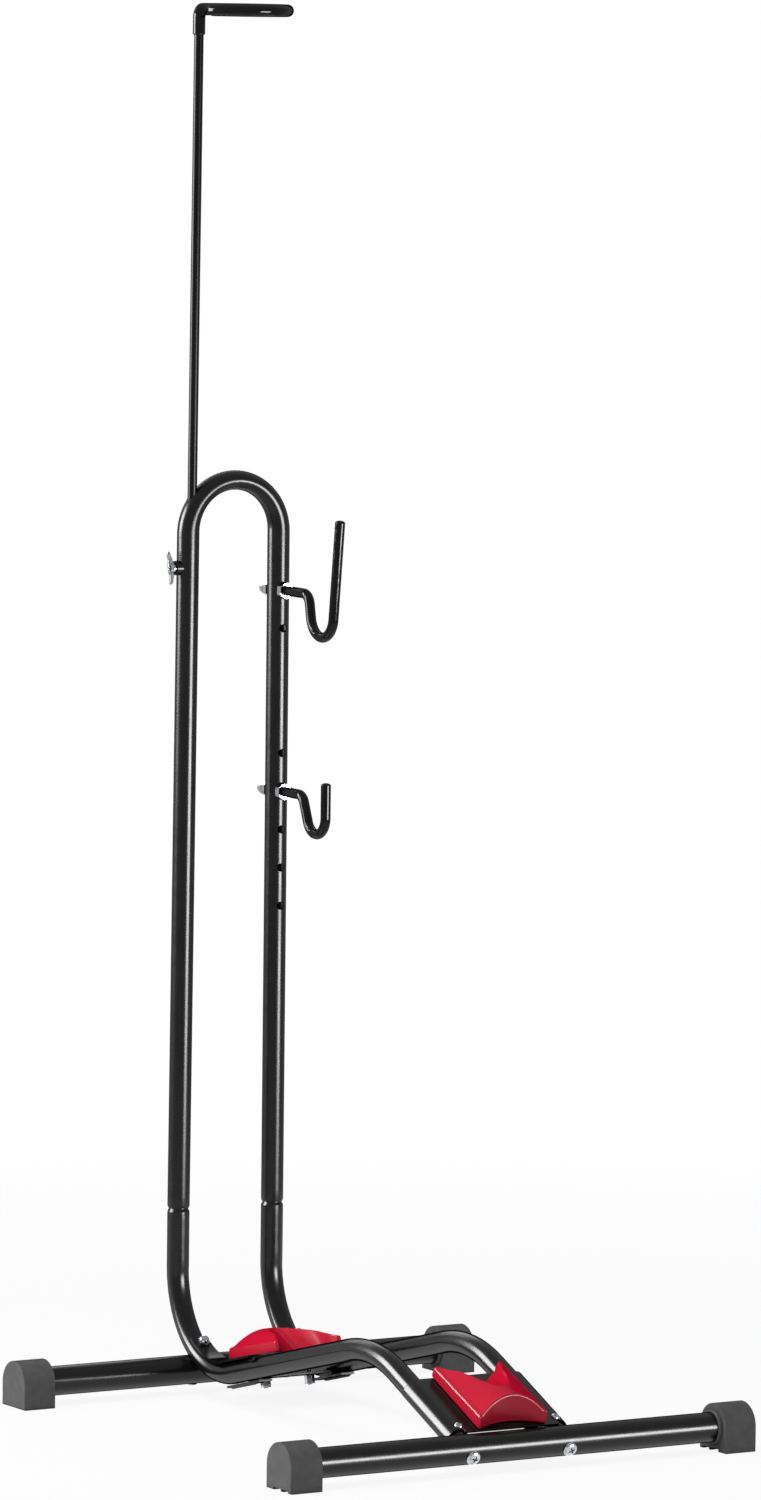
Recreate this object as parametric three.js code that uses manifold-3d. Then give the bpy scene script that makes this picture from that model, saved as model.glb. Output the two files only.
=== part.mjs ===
import * as THREE from "three";
import { mergeVertices } from "three/addons/utils/BufferGeometryUtils.js";
import Module from "manifold-3d";

const wasm = await Module();
wasm.setup();

// All lengths are in millimetres, angles in degrees, with +Z up and the bicycle's front wheel towards -Y.

// Clearances
const slideGap = 0.3;
const seatGap = 0.05;
const boltGap = 0.4;
const coatGap = 0.05;
const cutReach = 60;
const cutLong = 180;
const weldTolerance = 0.0005;

// Cross tubes and their end caps
const crossRadius = 16.7;
const crossWall = 1.5;
const crossHeight = 26.5;
const crossHalfSpacing = 296.5;
const capReach = 296.5;
const capHalfWidth = 26.25;
const capLength = 39.7;
const capEndWall = 4.7;
const capRim = 1.6;
const collarRadius = 19.5;
const collarMouth = 17.2;
const collarReach = 4.1;
const collarFlat = 0.4;
const grooveDepth = 3;
const grooveSolid = 15.2;
const grooveRib = 2.9;
const grooveFirst = 16;
const grooveSecond = 12.5;

// Rails
const railRadius = 12.7;
const railWall = 1.5;
const railSpacing = 61.7;
const legBehind = 41;
const stubPlace = crossHalfSpacing + legBehind;
const jointHeight = 206.7;
const spigotRadius = 10.8;
const spigotLength = 50;
const shoulderLength = 5;
const footCornerHeight = 2.3;
const humpBehind = 196.9;
const humpPlace = humpBehind - crossHalfSpacing;
const humpHeight = 112;
const slopeFootHeight = 26.4;
const footBend = 107;
const bendShare = 0.78;
const humpBend = 165;

// Arch
const archRadius = 12.7;
const archBore = 11.2;
const springHeight = 977;
const springHalf = 59.2;
const crownShift = 1.2;
const crownShare = 0.866;
const footChamfer = 0.9;
const footChamferLength = 2.5;
const hookHoleRadius = 4.75;
const hookHoles = [909.6, 866.3, 723.6, 679.8, 636, 592.2, 548.3];

// Extension rod with its hoop
const rodRadius = 5.4;
const rodOffset = 4.5;
const rodFoot = 870;
const rodExitLow = 985;
const rodExitHigh = 1075;
const hoopHeight = 1568.6;
const hoopBend = 9.75;
const hoopRadius = 49.7;
const hoopLeave = 70;
const hoopSweep = 291.6;
const hoopHeading = -30.93;
const hoopCoatRadius = 7.3;
const sleeveFoot = 1540;

// Wing screw and its boss
const screwHeight = 938;
const screwRadius = 4;
const bossRadius = 8.25;
const bossReach = 5;
const hubRadius = 5.6;
const hubLength = 5.2;
const hubNeck = 4.6;
const wingThickness = 2.6;
const wingReach = 13;
const wingHalfSpan = 19.2;
const wingOutlineShares = [[0.431, 0.01], [0.462, 0.25], [0.508, 0.469], [0.6, 0.708], [0.708, 0.917],
  [0.815, 1], [0.923, 0.969], [0.969, 0.854], [0.938, 0.646], [0.923, 0.417], [0.985, 0.208], [1, 0.01]];
const wingTurn = -12;

// Hooks
const hookRadius = 4.3;
const hookCoatRadius = 5.75;
const hookTipShare = 0.5;
const hookTail = 21;
const hookCoatStart = 21;
const upperHook = {
  height: 909.6, neckReach: 69.6, neckBend: 14, footReach: 106.9, footDrop: 186.7, footBend: 25.3,
  tipReach: 137.1, tipRise: 85.1,
};
const lowerHook = {
  height: 679.8, neckReach: 60.2, neckBend: 14, footReach: 111.8, footDrop: 123.9, footBend: 20.5,
  tipReach: 111.8, tipRise: 15.5,
};
const hookNutWidth = 17.5;
const hookNutThickness = 8;
const acornWidth = 17;
const acornHex = 8;
const acornReach = 26;
const acornDome = 7.4;
const acornBore = 22;
const acornDomeShare = 0.866;

// Trays and the plates that clamp them
const sheet = 2.5;
const trayGap = 0.3;
const frontTrayStart = 18;
const frontTrayEnd = 119;
const frontRoll = 105;
const rearTrayStart = -44;
const rearSideStart = -22;
const rearMiddleHalf = 49;
const rearTrayEnd = 67.7;
const rearRollStart = 55;
const rearRoll = 55;
const rearTrayHalf = 75;
const earHalf = 11;
const earBeyond = 7;
const traySpot = 24;
const plateHalfWidth = 62.4;
const plateHalfLong = 37;
const plateHalfShort = 25;
const lipDrop = 17.5;
const legPlace = 47.5;
const webHeight = -7.5;
const webHalf = 12.5;

// Wheel blocks
const blockHalf = 43.5;
const blockSide = 15.5;
const blockRise = 18.5;
const blockLength = 106;
const blockTaper = 0.15;
const blockShoulder = 39.5;
const frontPlatePlace = 62.8;
const rearPlatePlace = 16;
const blockHollow = 11;
const blockTopStart = -1;
const blockFootStart = -5;
const blockTip = 39;
const blockOverrun = 2;
const notchTopShares = [[0, 0.298], [0.138, 0.303], [0.251, 0.345], [0.326, 0.403], [0.423, 0.473],
  [0.495, 0.55], [0.577, 0.641], [0.659, 0.727], [0.759, 0.804], [0.867, 0.872]];
const notchFootDepth = 75;
const frontBlockPlace = 15.8;
const rearBlockPlace = -40;
const studPlace = 28.8;
const studRadius = 3;
const studDepth = 9;
const studTip = -21.3;
const studNutWidth = 10.2;
const studNutFoot = -20.5;
const studAlong = 49;

// Bolts that hold the rails to the cross tubes
const boltRadius = 4;
const boltHeadRadius = 8.5;
const boltHeadHeight = 4.6;
const boltReach = 40;
const insertStart = 18;
const insertLength = 30;
const capNutWidth = 13;
const capNutHex = 6.5;
const capNutReach = 11.5;
const capNutDome = 6;
const trayScrewRadius = 2.4;
const trayScrewHead = 4.8;
const trayScrewHeight = 2.9;
const trayScrewDepth = 9.5;

// Facets
const tubeSides = 16;
const crossSides = 20;
const barSides = 8;
const coatSides = 10;
const bendStep = 12;
const tipStep = 18;
const crownSteps = 12;
const roundSteps = 5;
const domeSteps = 3;
const corners = 3;
const hexSides = 6;

// Finishes
const paint = new THREE.MeshStandardMaterial({ color: 0x1a1b1d, roughness: 0.28, metalness: 0.35 });
const zinc = new THREE.MeshStandardMaterial({ color: 0xc9ccd0, roughness: 0.28, metalness: 1 });
const crimson = new THREE.MeshStandardMaterial({ color: 0xb3163a, roughness: 0.22, metalness: 0 });
const rubber = new THREE.MeshStandardMaterial({ color: 0x2b2c2e, roughness: 0.7, metalness: 0 });
const vinyl = new THREE.MeshStandardMaterial({ color: 0x161617, roughness: 0.4, metalness: 0 });

const half = 0.5;
const turn = THREE.MathUtils.degToRad;
const xAxis = new THREE.Vector3(1, 0, 0);
const yAxis = new THREE.Vector3(0, 1, 0);
const zAxis = new THREE.Vector3(0, 0, 1);
const pointAt = (x, y, z) => new THREE.Vector3(x, y, z);

// Solids: only closed triangle meshes are joined and cut
function toSolid(geometry) {
  const bare = geometry.clone();
  bare.deleteAttribute("normal");
  bare.deleteAttribute("uv");
  const merged = mergeVertices(bare, weldTolerance);
  const index = merged.index.array;
  const kept = [];
  for (let i = 0; i < index.length; i += corners) {
    const [a, b, c] = index.slice(i, i + corners);
    if (a !== b && b !== c && c !== a) kept.push(a, b, c);
  }
  const vertProperties = new Float32Array(merged.attributes.position.array);
  const build = (triVerts) => new wasm.Manifold(new wasm.Mesh({ numProp: corners, vertProperties, triVerts }));
  const solid = build(new Uint32Array(kept));
  return solid.volume() < 0 ? build(new Uint32Array(kept.reverse())) : solid;
}

function toGeometry(solid) {
  const mesh = solid.getMesh();
  const geometry = new THREE.BufferGeometry();
  const places = [];
  for (let i = 0; i < mesh.vertProperties.length; i += mesh.numProp) {
    places.push(mesh.vertProperties[i], mesh.vertProperties[i + 1], mesh.vertProperties[i + 2]);
  }
  geometry.setAttribute("position", new THREE.Float32BufferAttribute(places, corners));
  geometry.setIndex(Array.from(mesh.triVerts));
  geometry.computeVertexNormals();
  return geometry;
}

const join = (first, ...others) => others.reduce((solid, other) => solid.add(toSolid(other)), first);
const cut = (first, ...others) => others.reduce((solid, other) => solid.subtract(toSolid(other)), first);

// Shapes drawn in a plane and pushed along an axis
function polygon(radius, sides, phase = 0) {
  const points = [];
  for (let i = 0; i < sides; i += 1) {
    const angle = (i / sides) * 2 * Math.PI + phase;
    points.push(new THREE.Vector2(radius * Math.cos(angle), radius * Math.sin(angle)));
  }
  return points;
}

function shapeOf(points, holes = []) {
  const shape = new THREE.Shape(points);
  for (const hole of holes) shape.holes.push(new THREE.Path(hole));
  return shape;
}

const vectors = (pairs) => pairs.map(([x, y]) => new THREE.Vector2(x, y));

function push(shape, length, start = 0) {
  const geometry = new THREE.ExtrudeGeometry(shape, { depth: length, bevelEnabled: false });
  return geometry.translate(0, 0, start);
}

const intoX = new THREE.Matrix4().makeBasis(yAxis, zAxis, xAxis);
const intoY = new THREE.Matrix4().makeBasis(zAxis, xAxis, yAxis);

// Drawn in (y, z), pushed along X
const alongX = (shape, length, start) => push(shape, length, start).applyMatrix4(intoX);
// Drawn in (z, x), pushed along Y
const alongY = (shape, length, start) => push(shape, length, start).applyMatrix4(intoY);
// Drawn in (x, y), pushed along Z
const alongZ = push;

const disc = (radius, sides = coatSides) => shapeOf(polygon(radius, sides));
const pinX = (radius, length, start, sides) => alongX(disc(radius, sides), length, start);
const pinY = (radius, length, start, sides) => alongY(disc(radius, sides), length, start);
const pinZ = (radius, length, start, sides) => alongZ(disc(radius, sides), length, start);

// Radius of a bore whose flats clear a round pin
const boreFor = (radius, gap) => (radius + gap) / Math.cos(Math.PI / coatSides);

// A body of revolution about Z from pairs of radius and height
function lathe(pairs, sides = coatSides) {
  return new THREE.LatheGeometry(vectors(pairs), sides).rotateX(Math.PI / 2);
}

function domePairs(radius, foot, height, steps = domeSteps) {
  const pairs = [];
  for (let i = 0; i <= steps; i += 1) {
    const angle = (i / steps) * Math.PI * half;
    pairs.push([i === steps ? 0 : radius * Math.cos(angle), foot + height * Math.sin(angle)]);
  }
  return pairs;
}

// A path known only at its stations, so that straight runs stay single spans
class StationPath extends THREE.Curve {
  constructor(stations) {
    super();
    this.stations = stations;
  }

  station(share) {
    return this.stations[Math.round(share * (this.stations.length - 1))];
  }

  getPointAt(share, target = new THREE.Vector3()) {
    return target.copy(this.station(share).point);
  }

  getTangentAt(share, target = new THREE.Vector3()) {
    return target.copy(this.station(share).tangent);
  }
}

function bentPath(points, bends, step) {
  const stations = [];
  let tangent = points[1].clone().sub(points[0]).normalize();
  stations.push({ point: points[0].clone(), tangent: tangent.clone() });
  for (let i = 1; i < points.length - 1; i += 1) {
    const next = points[i + 1].clone().sub(points[i]).normalize();
    const angle = tangent.angleTo(next);
    const radius = bends[i - 1];
    const start = points[i].clone().addScaledVector(tangent, -radius * Math.tan(angle * half));
    const axis = tangent.clone().cross(next).normalize();
    const arm = axis.clone().cross(tangent).multiplyScalar(-radius);
    const centre = start.clone().sub(arm);
    const steps = Math.max(2, Math.round(angle / turn(step)));
    for (let k = 0; k <= steps; k += 1) {
      const part = (k / steps) * angle;
      const point = centre.clone().add(arm.clone().applyAxisAngle(axis, part));
      stations.push({ point, tangent: tangent.clone().applyAxisAngle(axis, part) });
    }
    tangent = next;
  }
  stations.push({ point: points[points.length - 1].clone(), tangent: tangent.clone() });
  return stations;
}

function sweep(stations, radius, sides, bore = 0) {
  const holes = bore > 0 ? [polygon(bore, sides)] : [];
  const options = { steps: stations.length - 1, bevelEnabled: false, extrudePath: new StationPath(stations) };
  return new THREE.ExtrudeGeometry(shapeOf(polygon(radius, sides), holes), options);
}

// A ball cap at the last station, flattened along the path by a share
function tipDome(stations, radius, sides, share = 1) {
  const last = stations[stations.length - 1];
  const ball = new THREE.SphereGeometry(radius, sides, 2 * domeSteps).scale(1, share, 1);
  ball.applyQuaternion(new THREE.Quaternion().setFromUnitVectors(yAxis, last.tangent));
  return ball.translate(last.point.x, last.point.y, last.point.z);
}

const root = new THREE.Group();
root.name = "vertical_bike_stand";
const backReach = stubPlace + archRadius + acornReach;
const frontReach = crossHalfSpacing + capHalfWidth;
root.position.y = (frontReach - backReach) * half;

function node(name, geometry, material, parent = root) {
  const shape = toGeometry(geometry.isBufferGeometry ? toSolid(geometry) : geometry);
  const mesh = new THREE.Mesh(shape, material);
  mesh.name = name;
  parent.add(mesh);
  return mesh;
}

function frameGroup(name, matrix) {
  const group = new THREE.Group();
  group.name = name;
  group.applyMatrix4(matrix);
  root.add(group);
  return group;
}

const sides = [{ name: "left", sign: -1 }, { name: "right", sign: 1 }];

// Frames along the two sloped parts of the rails
const footCorner = pointAt(0, stubPlace, footCornerHeight);
const humpCorner = pointAt(0, humpPlace, humpHeight);
const slopeFoot = pointAt(0, -crossHalfSpacing, slopeFootHeight);
const runDirection = humpCorner.clone().sub(footCorner).normalize();
const slopeDirection = humpCorner.clone().sub(slopeFoot).normalize();
const footTurn = pointAt(0, 0, -1).angleTo(runDirection);
const footFlat = footTurn / Math.round(footTurn / turn(bendStep));
const runStart = footCorner.clone().addScaledVector(runDirection, footBend * Math.tan(footTurn * half));
const leftwards = xAxis.clone().negate();
const runSide = leftwards.clone().cross(runDirection);
const rearFrame = new THREE.Matrix4().makeBasis(leftwards, runDirection, runSide);
rearFrame.setPosition(runStart);
const slopeSide = xAxis.clone().cross(slopeDirection);
const frontFrame = new THREE.Matrix4().makeBasis(xAxis, slopeDirection, slopeSide);
frontFrame.setPosition(slopeFoot);

// Frame of the bolts through the rear cross tube, which point at the centre of the rails' bend
const bendCentre = pointAt(0, 0, footBend).applyMatrix4(rearFrame);
const rearTube = pointAt(0, crossHalfSpacing, crossHeight);
const rearBoltDirection = bendCentre.clone().sub(rearTube);
const rearBoltSpan = rearBoltDirection.length();
rearBoltDirection.normalize();
const rearBoltSide = rearBoltDirection.clone().cross(xAxis);
const rearBoltFrame = new THREE.Matrix4().makeBasis(xAxis, rearBoltSide, rearBoltDirection);
rearBoltFrame.setPosition(rearTube);

function railPath(x, top) {
  const points = [pointAt(x, stubPlace, top), footCorner.clone().setX(x), humpCorner.clone().setX(x)];
  points.push(slopeFoot.clone().setX(x));
  return bentPath(points, [footBend, humpBend], bendStep);
}

// Cross tubes
const crossLength = 2 * (capReach - capEndWall - slideGap);
const crossRing = shapeOf(polygon(crossRadius, crossSides), [polygon(crossRadius - crossWall, crossSides)]);

function crossTube(place) {
  return alongX(crossRing, crossLength, -crossLength * half).translate(0, place, crossHeight);
}

function frontCrossTube() {
  let solid = toSolid(crossTube(-crossHalfSpacing));
  for (const side of sides) {
    const hole = pinY(boltRadius + boltGap, 2 * cutReach, -cutReach);
    solid = cut(solid, hole.translate(side.sign * railSpacing, 0, 0).applyMatrix4(frontFrame));
  }
  return solid;
}

// The rails sit in saddles that are pressed into the rear tube
function rearCrossTube() {
  const length = crossLength;
  const outside = pinX(crossRadius, length, -length * half, crossSides);
  const boreLength = length + cutReach;
  const inside = pinX(crossRadius - crossWall, boreLength, -boreLength * half, crossSides);
  let outer = toSolid(outside.translate(0, crossHalfSpacing, crossHeight));
  let bore = toSolid(inside.translate(0, crossHalfSpacing, crossHeight));
  for (const side of sides) {
    const path = railPath(side.sign * railSpacing, jointHeight);
    outer = cut(outer, sweep(path, railRadius + slideGap, tubeSides));
    bore = cut(bore, sweep(path, railRadius + slideGap + crossWall, tubeSides));
  }
  let solid = outer.subtract(bore);
  for (const side of sides) {
    const hole = pinZ(boltRadius + boltGap, 2 * cutReach, -cutReach);
    solid = cut(solid, hole.translate(side.sign * railSpacing, 0, 0).applyMatrix4(rearBoltFrame));
  }
  return solid;
}

// End caps: a dome over the tube and a square foot, with grooves under the front pair
function capProfile() {
  const points = [[capHalfWidth, 0]];
  for (let i = 0; i <= 2 * roundSteps; i += 1) {
    const angle = (i / (2 * roundSteps)) * Math.PI;
    points.push([capHalfWidth * Math.cos(angle), crossHeight + capHalfWidth * Math.sin(angle)]);
  }
  points.push([-capHalfWidth, 0]);
  return shapeOf(vectors(points));
}

function endCap(grooved) {
  const rim = { depth: capLength - capRim, bevelEnabled: true, bevelThickness: capRim, bevelSize: capRim };
  rim.bevelOffset = -capRim;
  rim.bevelSegments = 1;
  const rounded = new THREE.ExtrudeGeometry(capProfile(), rim).applyMatrix4(intoX);
  const keep = toSolid(new THREE.BoxGeometry(cutReach, cutLong, cutLong).translate(cutReach * half, 0, 0));
  let solid = toSolid(rounded).intersect(keep);
  const collar = [[crossRadius, capRim], [collarRadius, capRim], [collarRadius, -collarFlat]];
  for (let i = 1; i <= domeSteps; i += 1) {
    const angle = (i / domeSteps) * Math.PI * half;
    const radius = collarMouth + (collarRadius - collarMouth) * Math.cos(angle);
    collar.push([radius, -collarFlat - (collarReach - collarFlat) * Math.sin(angle)]);
  }
  collar.push([crossRadius, -collarReach], [crossRadius, capRim]);
  const bead = lathe(collar, crossSides).rotateY(Math.PI / 2).translate(0, 0, crossHeight);
  solid = join(solid, bead);
  const boreLength = capLength - capEndWall;
  const bore = pinX(crossRadius + slideGap, boreLength + cutReach, -cutReach, crossSides);
  solid = cut(solid, bore.translate(0, 0, crossHeight));
  if (grooved) {
    let edge = grooveSolid - capHalfWidth;
    for (const width of [grooveFirst, grooveSecond]) {
      const groove = new THREE.BoxGeometry(2 * cutReach, width, 2 * grooveDepth);
      solid = cut(solid, groove.translate(0, edge + width * half, 0));
      edge += width + grooveRib;
    }
  }
  return solid;
}

node("front_cross_tube", frontCrossTube(), paint);
node("rear_cross_tube", rearCrossTube(), paint);

const ends = [
  { name: "front", place: -crossHalfSpacing, grooved: true },
  { name: "rear", place: crossHalfSpacing, grooved: false },
];

for (const end of ends) {
  for (const side of sides) {
    const cap = node(`${end.name}_${side.name}_cap`, endCap(end.grooved), rubber);
    cap.position.set(side.sign * (capReach - capLength), end.place, 0);
    cap.rotation.z = side.sign > 0 ? 0 : Math.PI;
  }
}

// The inner side of the rear bend is flattened by the bending, most of all at its middle
function bendFlat(angle) {
  const part = Math.min(Math.max(angle / footTurn, 0), 1);
  return 1 - (1 - bendShare) * Math.sin(Math.PI * part) ** half;
}

function flattenBend(places) {
  const fromCentre = pointAt(0, 0, 0);
  for (let i = 0; i < places.count; i += 1) {
    fromCentre.set(0, places.getY(i) - bendCentre.y, places.getZ(i) - bendCentre.z);
    const reach = fromCentre.length();
    const angle = Math.atan2(-fromCentre.z, fromCentre.y);
    if (angle < 0 || angle > footTurn || reach > footBend) continue;
    fromCentre.setLength(footBend - (footBend - reach) * bendFlat(angle));
    places.setY(i, bendCentre.y + fromCentre.y);
    places.setZ(i, bendCentre.z + fromCentre.z);
  }
}

// Rails: one bent tube each, from the spigot in the arch to the fishmouth on the front tube
function rail(side) {
  const x = side.sign * railSpacing;
  const stations = railPath(x, jointHeight + spigotLength);
  const down = stations[0].tangent.clone();
  const neck = { point: pointAt(x, stubPlace, jointHeight), tangent: down.clone() };
  const shoulder = { point: pointAt(x, stubPlace, jointHeight - shoulderLength), tangent: down.clone() };
  stations.splice(1, 0, neck, shoulder);
  const geometry = sweep(stations, railRadius, tubeSides, railRadius - railWall);
  const places = geometry.attributes.position;
  for (let i = 0; i < places.count; i += 1) {
    if (places.getZ(i) < jointHeight - shoulderLength * half) continue;
    const offset = new THREE.Vector2(places.getX(i) - x, places.getY(i) - stubPlace);
    offset.setLength(offset.length() - railRadius + spigotRadius);
    places.setXY(i, x + offset.x, stubPlace + offset.y);
  }
  flattenBend(places);
  const frontPin = pinX(crossRadius + slideGap, 2 * cutReach, -cutReach, crossSides);
  frontPin.translate(x, -crossHalfSpacing, crossHeight);
  const screwHole = pinZ(trayScrewRadius + boltGap, cutReach, 0).translate(x, traySpot, 0);
  const boltHole = pinZ(boltRadius + boltGap, 2 * cutReach, 0).translate(x, 0, 0);
  screwHole.applyMatrix4(frontFrame);
  boltHole.applyMatrix4(rearBoltFrame);
  return cut(toSolid(geometry), frontPin, screwHole, boltHole);
}

for (const side of sides) node(`${side.name}_rail`, rail(side), paint);

// Arch: two legs that lean in a little, joined by a half circle with a flattened crown
const legRise = springHeight - jointHeight;
const legSlope = (sign) => (crownShift + sign * (springHalf - railSpacing)) / legRise;
const legPlaceAt = (sign, height) => sign * railSpacing + (height - jointHeight) * legSlope(sign);
const leftLean = Math.atan(legSlope(-1));

function archTube() {
  const stations = [];
  const up = pointAt(legSlope(-1), 0, 1).normalize();
  for (const height of [jointHeight, jointHeight + footChamferLength]) {
    stations.push({ point: pointAt(legPlaceAt(-1, height), stubPlace, height), tangent: up.clone() });
  }
  for (let i = 0; i <= crownSteps; i += 1) {
    const angle = Math.PI * (1 - i / crownSteps);
    const across = crownShift + springHalf * Math.cos(angle);
    const point = pointAt(across, stubPlace, springHeight + springHalf * Math.sin(angle));
    stations.push({ point, tangent: pointAt(Math.sin(angle), 0, -Math.cos(angle)) });
  }
  const downwards = pointAt(-legSlope(1), 0, -1).normalize();
  for (const height of [jointHeight + footChamferLength, jointHeight]) {
    stations.push({ point: pointAt(legPlaceAt(1, height), stubPlace, height), tangent: downwards.clone() });
  }
  const geometry = sweep(stations, archRadius, tubeSides, archBore);
  const places = geometry.attributes.position;
  for (let i = 0; i < places.count; i += 1) {
    const z = places.getZ(i);
    const fromSpring = new THREE.Vector2(places.getX(i) - crownShift, z - springHeight);
    if (z > springHeight) {
      const reach = fromSpring.length();
      const share = 1 - (1 - crownShare) * (fromSpring.y / reach);
      fromSpring.setLength(springHalf + (reach - springHalf) * share);
      places.setX(i, crownShift + fromSpring.x);
      places.setZ(i, springHeight + fromSpring.y);
    } else if (z < jointHeight + footChamferLength * half) {
      const x = legPlaceAt(Math.sign(places.getX(i)), jointHeight);
      const offset = new THREE.Vector2(places.getX(i) - x, places.getY(i) - stubPlace);
      if (offset.length() > archBore + slideGap) offset.setLength(offset.length() - footChamfer);
      places.setXY(i, x + offset.x, stubPlace + offset.y);
    }
  }
  let solid = toSolid(geometry);
  for (const height of hookHoles) {
    const hole = pinY(hookHoleRadius, 2 * cutReach, -cutReach);
    solid = cut(solid, hole.translate(legPlaceAt(1, height), stubPlace, height));
  }
  const screwHole = pinX(screwRadius + boltGap, cutReach, -cutReach);
  screwHole.translate(legPlaceAt(-1, screwHeight), stubPlace, screwHeight);
  const rodHole = pinZ(rodRadius + slideGap, rodExitHigh - rodExitLow, rodExitLow - screwHeight, tubeSides);
  rodHole.rotateY(leftLean).translate(legPlaceAt(-1, screwHeight) + rodOffset, stubPlace, screwHeight);
  return cut(solid, screwHole, rodHole);
}

node("arch_tube", archTube(), paint);

// Extension rod: slides inside the left leg and is bent over into the hoop that holds a wheel rim
const rodGroup = new THREE.Group();
rodGroup.name = "extension";
rodGroup.position.set(legPlaceAt(-1, screwHeight) + rodOffset, stubPlace, screwHeight);
rodGroup.rotation.y = leftLean;
root.add(rodGroup);

function hoopPath(foot) {
  const away = pointAt(Math.cos(turn(hoopLeave)), Math.sin(turn(hoopLeave)), 0);
  const inward = pointAt(away.y, -away.x, 0);
  const top = hoopHeight - screwHeight;
  const start = pointAt(0, 0, top).addScaledVector(away, hoopBend);
  const centre = start.clone().addScaledVector(inward, hoopRadius);
  const bend = bentPath([pointAt(0, 0, foot), pointAt(0, 0, top), start], [hoopBend], bendStep);
  bend.pop();
  const steps = Math.round(hoopSweep / tipStep);
  for (let i = 1; i <= steps; i += 1) {
    const angle = -turn(hoopSweep) * (i / steps);
    const arm = start.clone().sub(centre).applyAxisAngle(zAxis, angle);
    bend.push({ point: centre.clone().add(arm), tangent: away.clone().applyAxisAngle(zAxis, angle) });
  }
  for (const station of bend) {
    station.point.applyAxisAngle(zAxis, turn(hoopHeading));
    station.tangent.applyAxisAngle(zAxis, turn(hoopHeading));
  }
  return bend;
}

node("extension_rod", sweep(hoopPath(rodFoot - screwHeight), rodRadius, coatSides), paint, rodGroup);
const hoopStations = hoopPath(sleeveFoot - screwHeight);
const hoopBody = toSolid(sweep(hoopStations, hoopCoatRadius, coatSides));
const hoopCoat = join(hoopBody, tipDome(hoopStations, hoopCoatRadius, coatSides));
node("hoop_coat", cut(hoopCoat, sweep(hoopStations, rodRadius + coatGap, coatSides)), vinyl, rodGroup);

// Wing screw through a welded boss on the outer side of the left leg
const screwGroup = new THREE.Group();
screwGroup.name = "clamp";
screwGroup.position.set(legPlaceAt(-1, screwHeight), stubPlace, screwHeight);
root.add(screwGroup);
const bossOuter = archRadius + bossReach;
const legCut = pinZ(archRadius + seatGap, 2 * cutReach, -cutReach, 2 * tubeSides);
const bossRing = shapeOf(polygon(bossRadius, tubeSides), [polygon(screwRadius + slideGap, coatSides)]);
node("clamp_boss", cut(toSolid(alongX(bossRing, archRadius, -bossOuter)), legCut), paint, screwGroup);

function wingScrew() {
  const hubStart = bossOuter + slideGap;
  const shank = pinX(screwRadius, hubStart - slideGap - rodRadius + rodOffset, -hubStart);
  const hub = [[0, -hubLength], [hubNeck, -hubLength], [hubRadius, -hubLength * half], [hubRadius, 0], [0, 0]];
  const body = lathe(hub).rotateY(Math.PI / 2).translate(-hubStart, 0, 0);
  let solid = join(toSolid(body), shank);
  for (const sign of [1, -1]) {
    const place = ([out, up]) => [sign * up * wingHalfSpan, -out * wingReach - archRadius];
    const outline = wingOutlineShares.map(place);
    if (sign < 0) outline.reverse();
    const blade = alongY(shapeOf(vectors(outline)), wingThickness, -wingThickness * half);
    solid = join(solid, blade);
  }
  return solid;
}

node("wing_screw", wingScrew(), zinc, screwGroup).rotation.x = turn(wingTurn);

// Hooks: bent bars through the right leg, each held by a nut in front and a cap nut behind
function hexagon(width) {
  return polygon(width * half / Math.cos(Math.PI / hexSides), hexSides, Math.PI / hexSides);
}

// A nut on its bolt's axis: flat foot at zero, chamfered top
function hexNut(width, height, bolt) {
  const reach = width * half / Math.cos(Math.PI / hexSides);
  const chamfer = (reach - width * half) * half;
  const profile = [[0, 0], [reach, 0], [reach, height - chamfer], [width * half, height], [0, height]];
  const rounded = toSolid(lathe(profile));
  const body = toSolid(alongZ(shapeOf(hexagon(width)), height, 0)).intersect(rounded);
  return cut(body, pinZ(boreFor(bolt, seatGap), 2 * cutReach, -cutReach));
}

// A cap nut: a hexagon with a closed dome over the end of the bolt
function capNut(width, hex, reach, dome, bolt, depth) {
  const rise = (reach - hex) * acornDomeShare;
  const pairs = [[0, hex * half], [dome, hex * half], ...domePairs(dome, reach - rise, rise)];
  const solid = join(toSolid(alongZ(shapeOf(hexagon(width)), hex, 0)), lathe(pairs.reverse()));
  return cut(solid, pinZ(boreFor(bolt, seatGap), depth + cutReach, -cutReach));
}

function hookPath(hook, start) {
  const points = [pointAt(0, start, 0), pointAt(0, -hook.neckReach, 0)];
  points.push(pointAt(0, -hook.footReach, -hook.footDrop), pointAt(0, -hook.tipReach, hook.tipRise));
  return bentPath(points, [hook.neckBend, hook.footBend], tipStep);
}

for (const [name, hook] of [["upper", upperHook], ["lower", lowerHook]]) {
  const group = new THREE.Group();
  group.name = `${name}_hook`;
  group.position.set(legPlaceAt(1, hook.height), stubPlace, hook.height);
  root.add(group);
  node(`${name}_hook_bar`, sweep(hookPath(hook, archRadius + hookTail), hookRadius, barSides), zinc, group);
  const path = hookPath(hook, -hookCoatStart);
  const tip = tipDome(path, hookCoatRadius, barSides, hookTipShare);
  const coat = join(toSolid(sweep(path, hookCoatRadius, barSides)), tip);
  node(`${name}_hook_coat`, cut(coat, sweep(path, hookRadius + coatGap, barSides)), vinyl, group);
  const nut = node(`${name}_hook_nut`, hexNut(hookNutWidth, hookNutThickness, hookRadius), zinc, group);
  nut.rotation.x = Math.PI / 2;
  nut.position.y = -archRadius - seatGap;
  const acorn = capNut(acornWidth, acornHex, acornReach, acornDome, hookRadius, acornBore);
  const acornMesh = node(`${name}_hook_cap_nut`, acorn, zinc, group);
  acornMesh.rotation.x = -Math.PI / 2;
  acornMesh.position.y = archRadius + seatGap;
}

// Trays: sheet that lies across both rails and is rolled down round their outer sides
const railTop = railRadius + trayGap;

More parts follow.
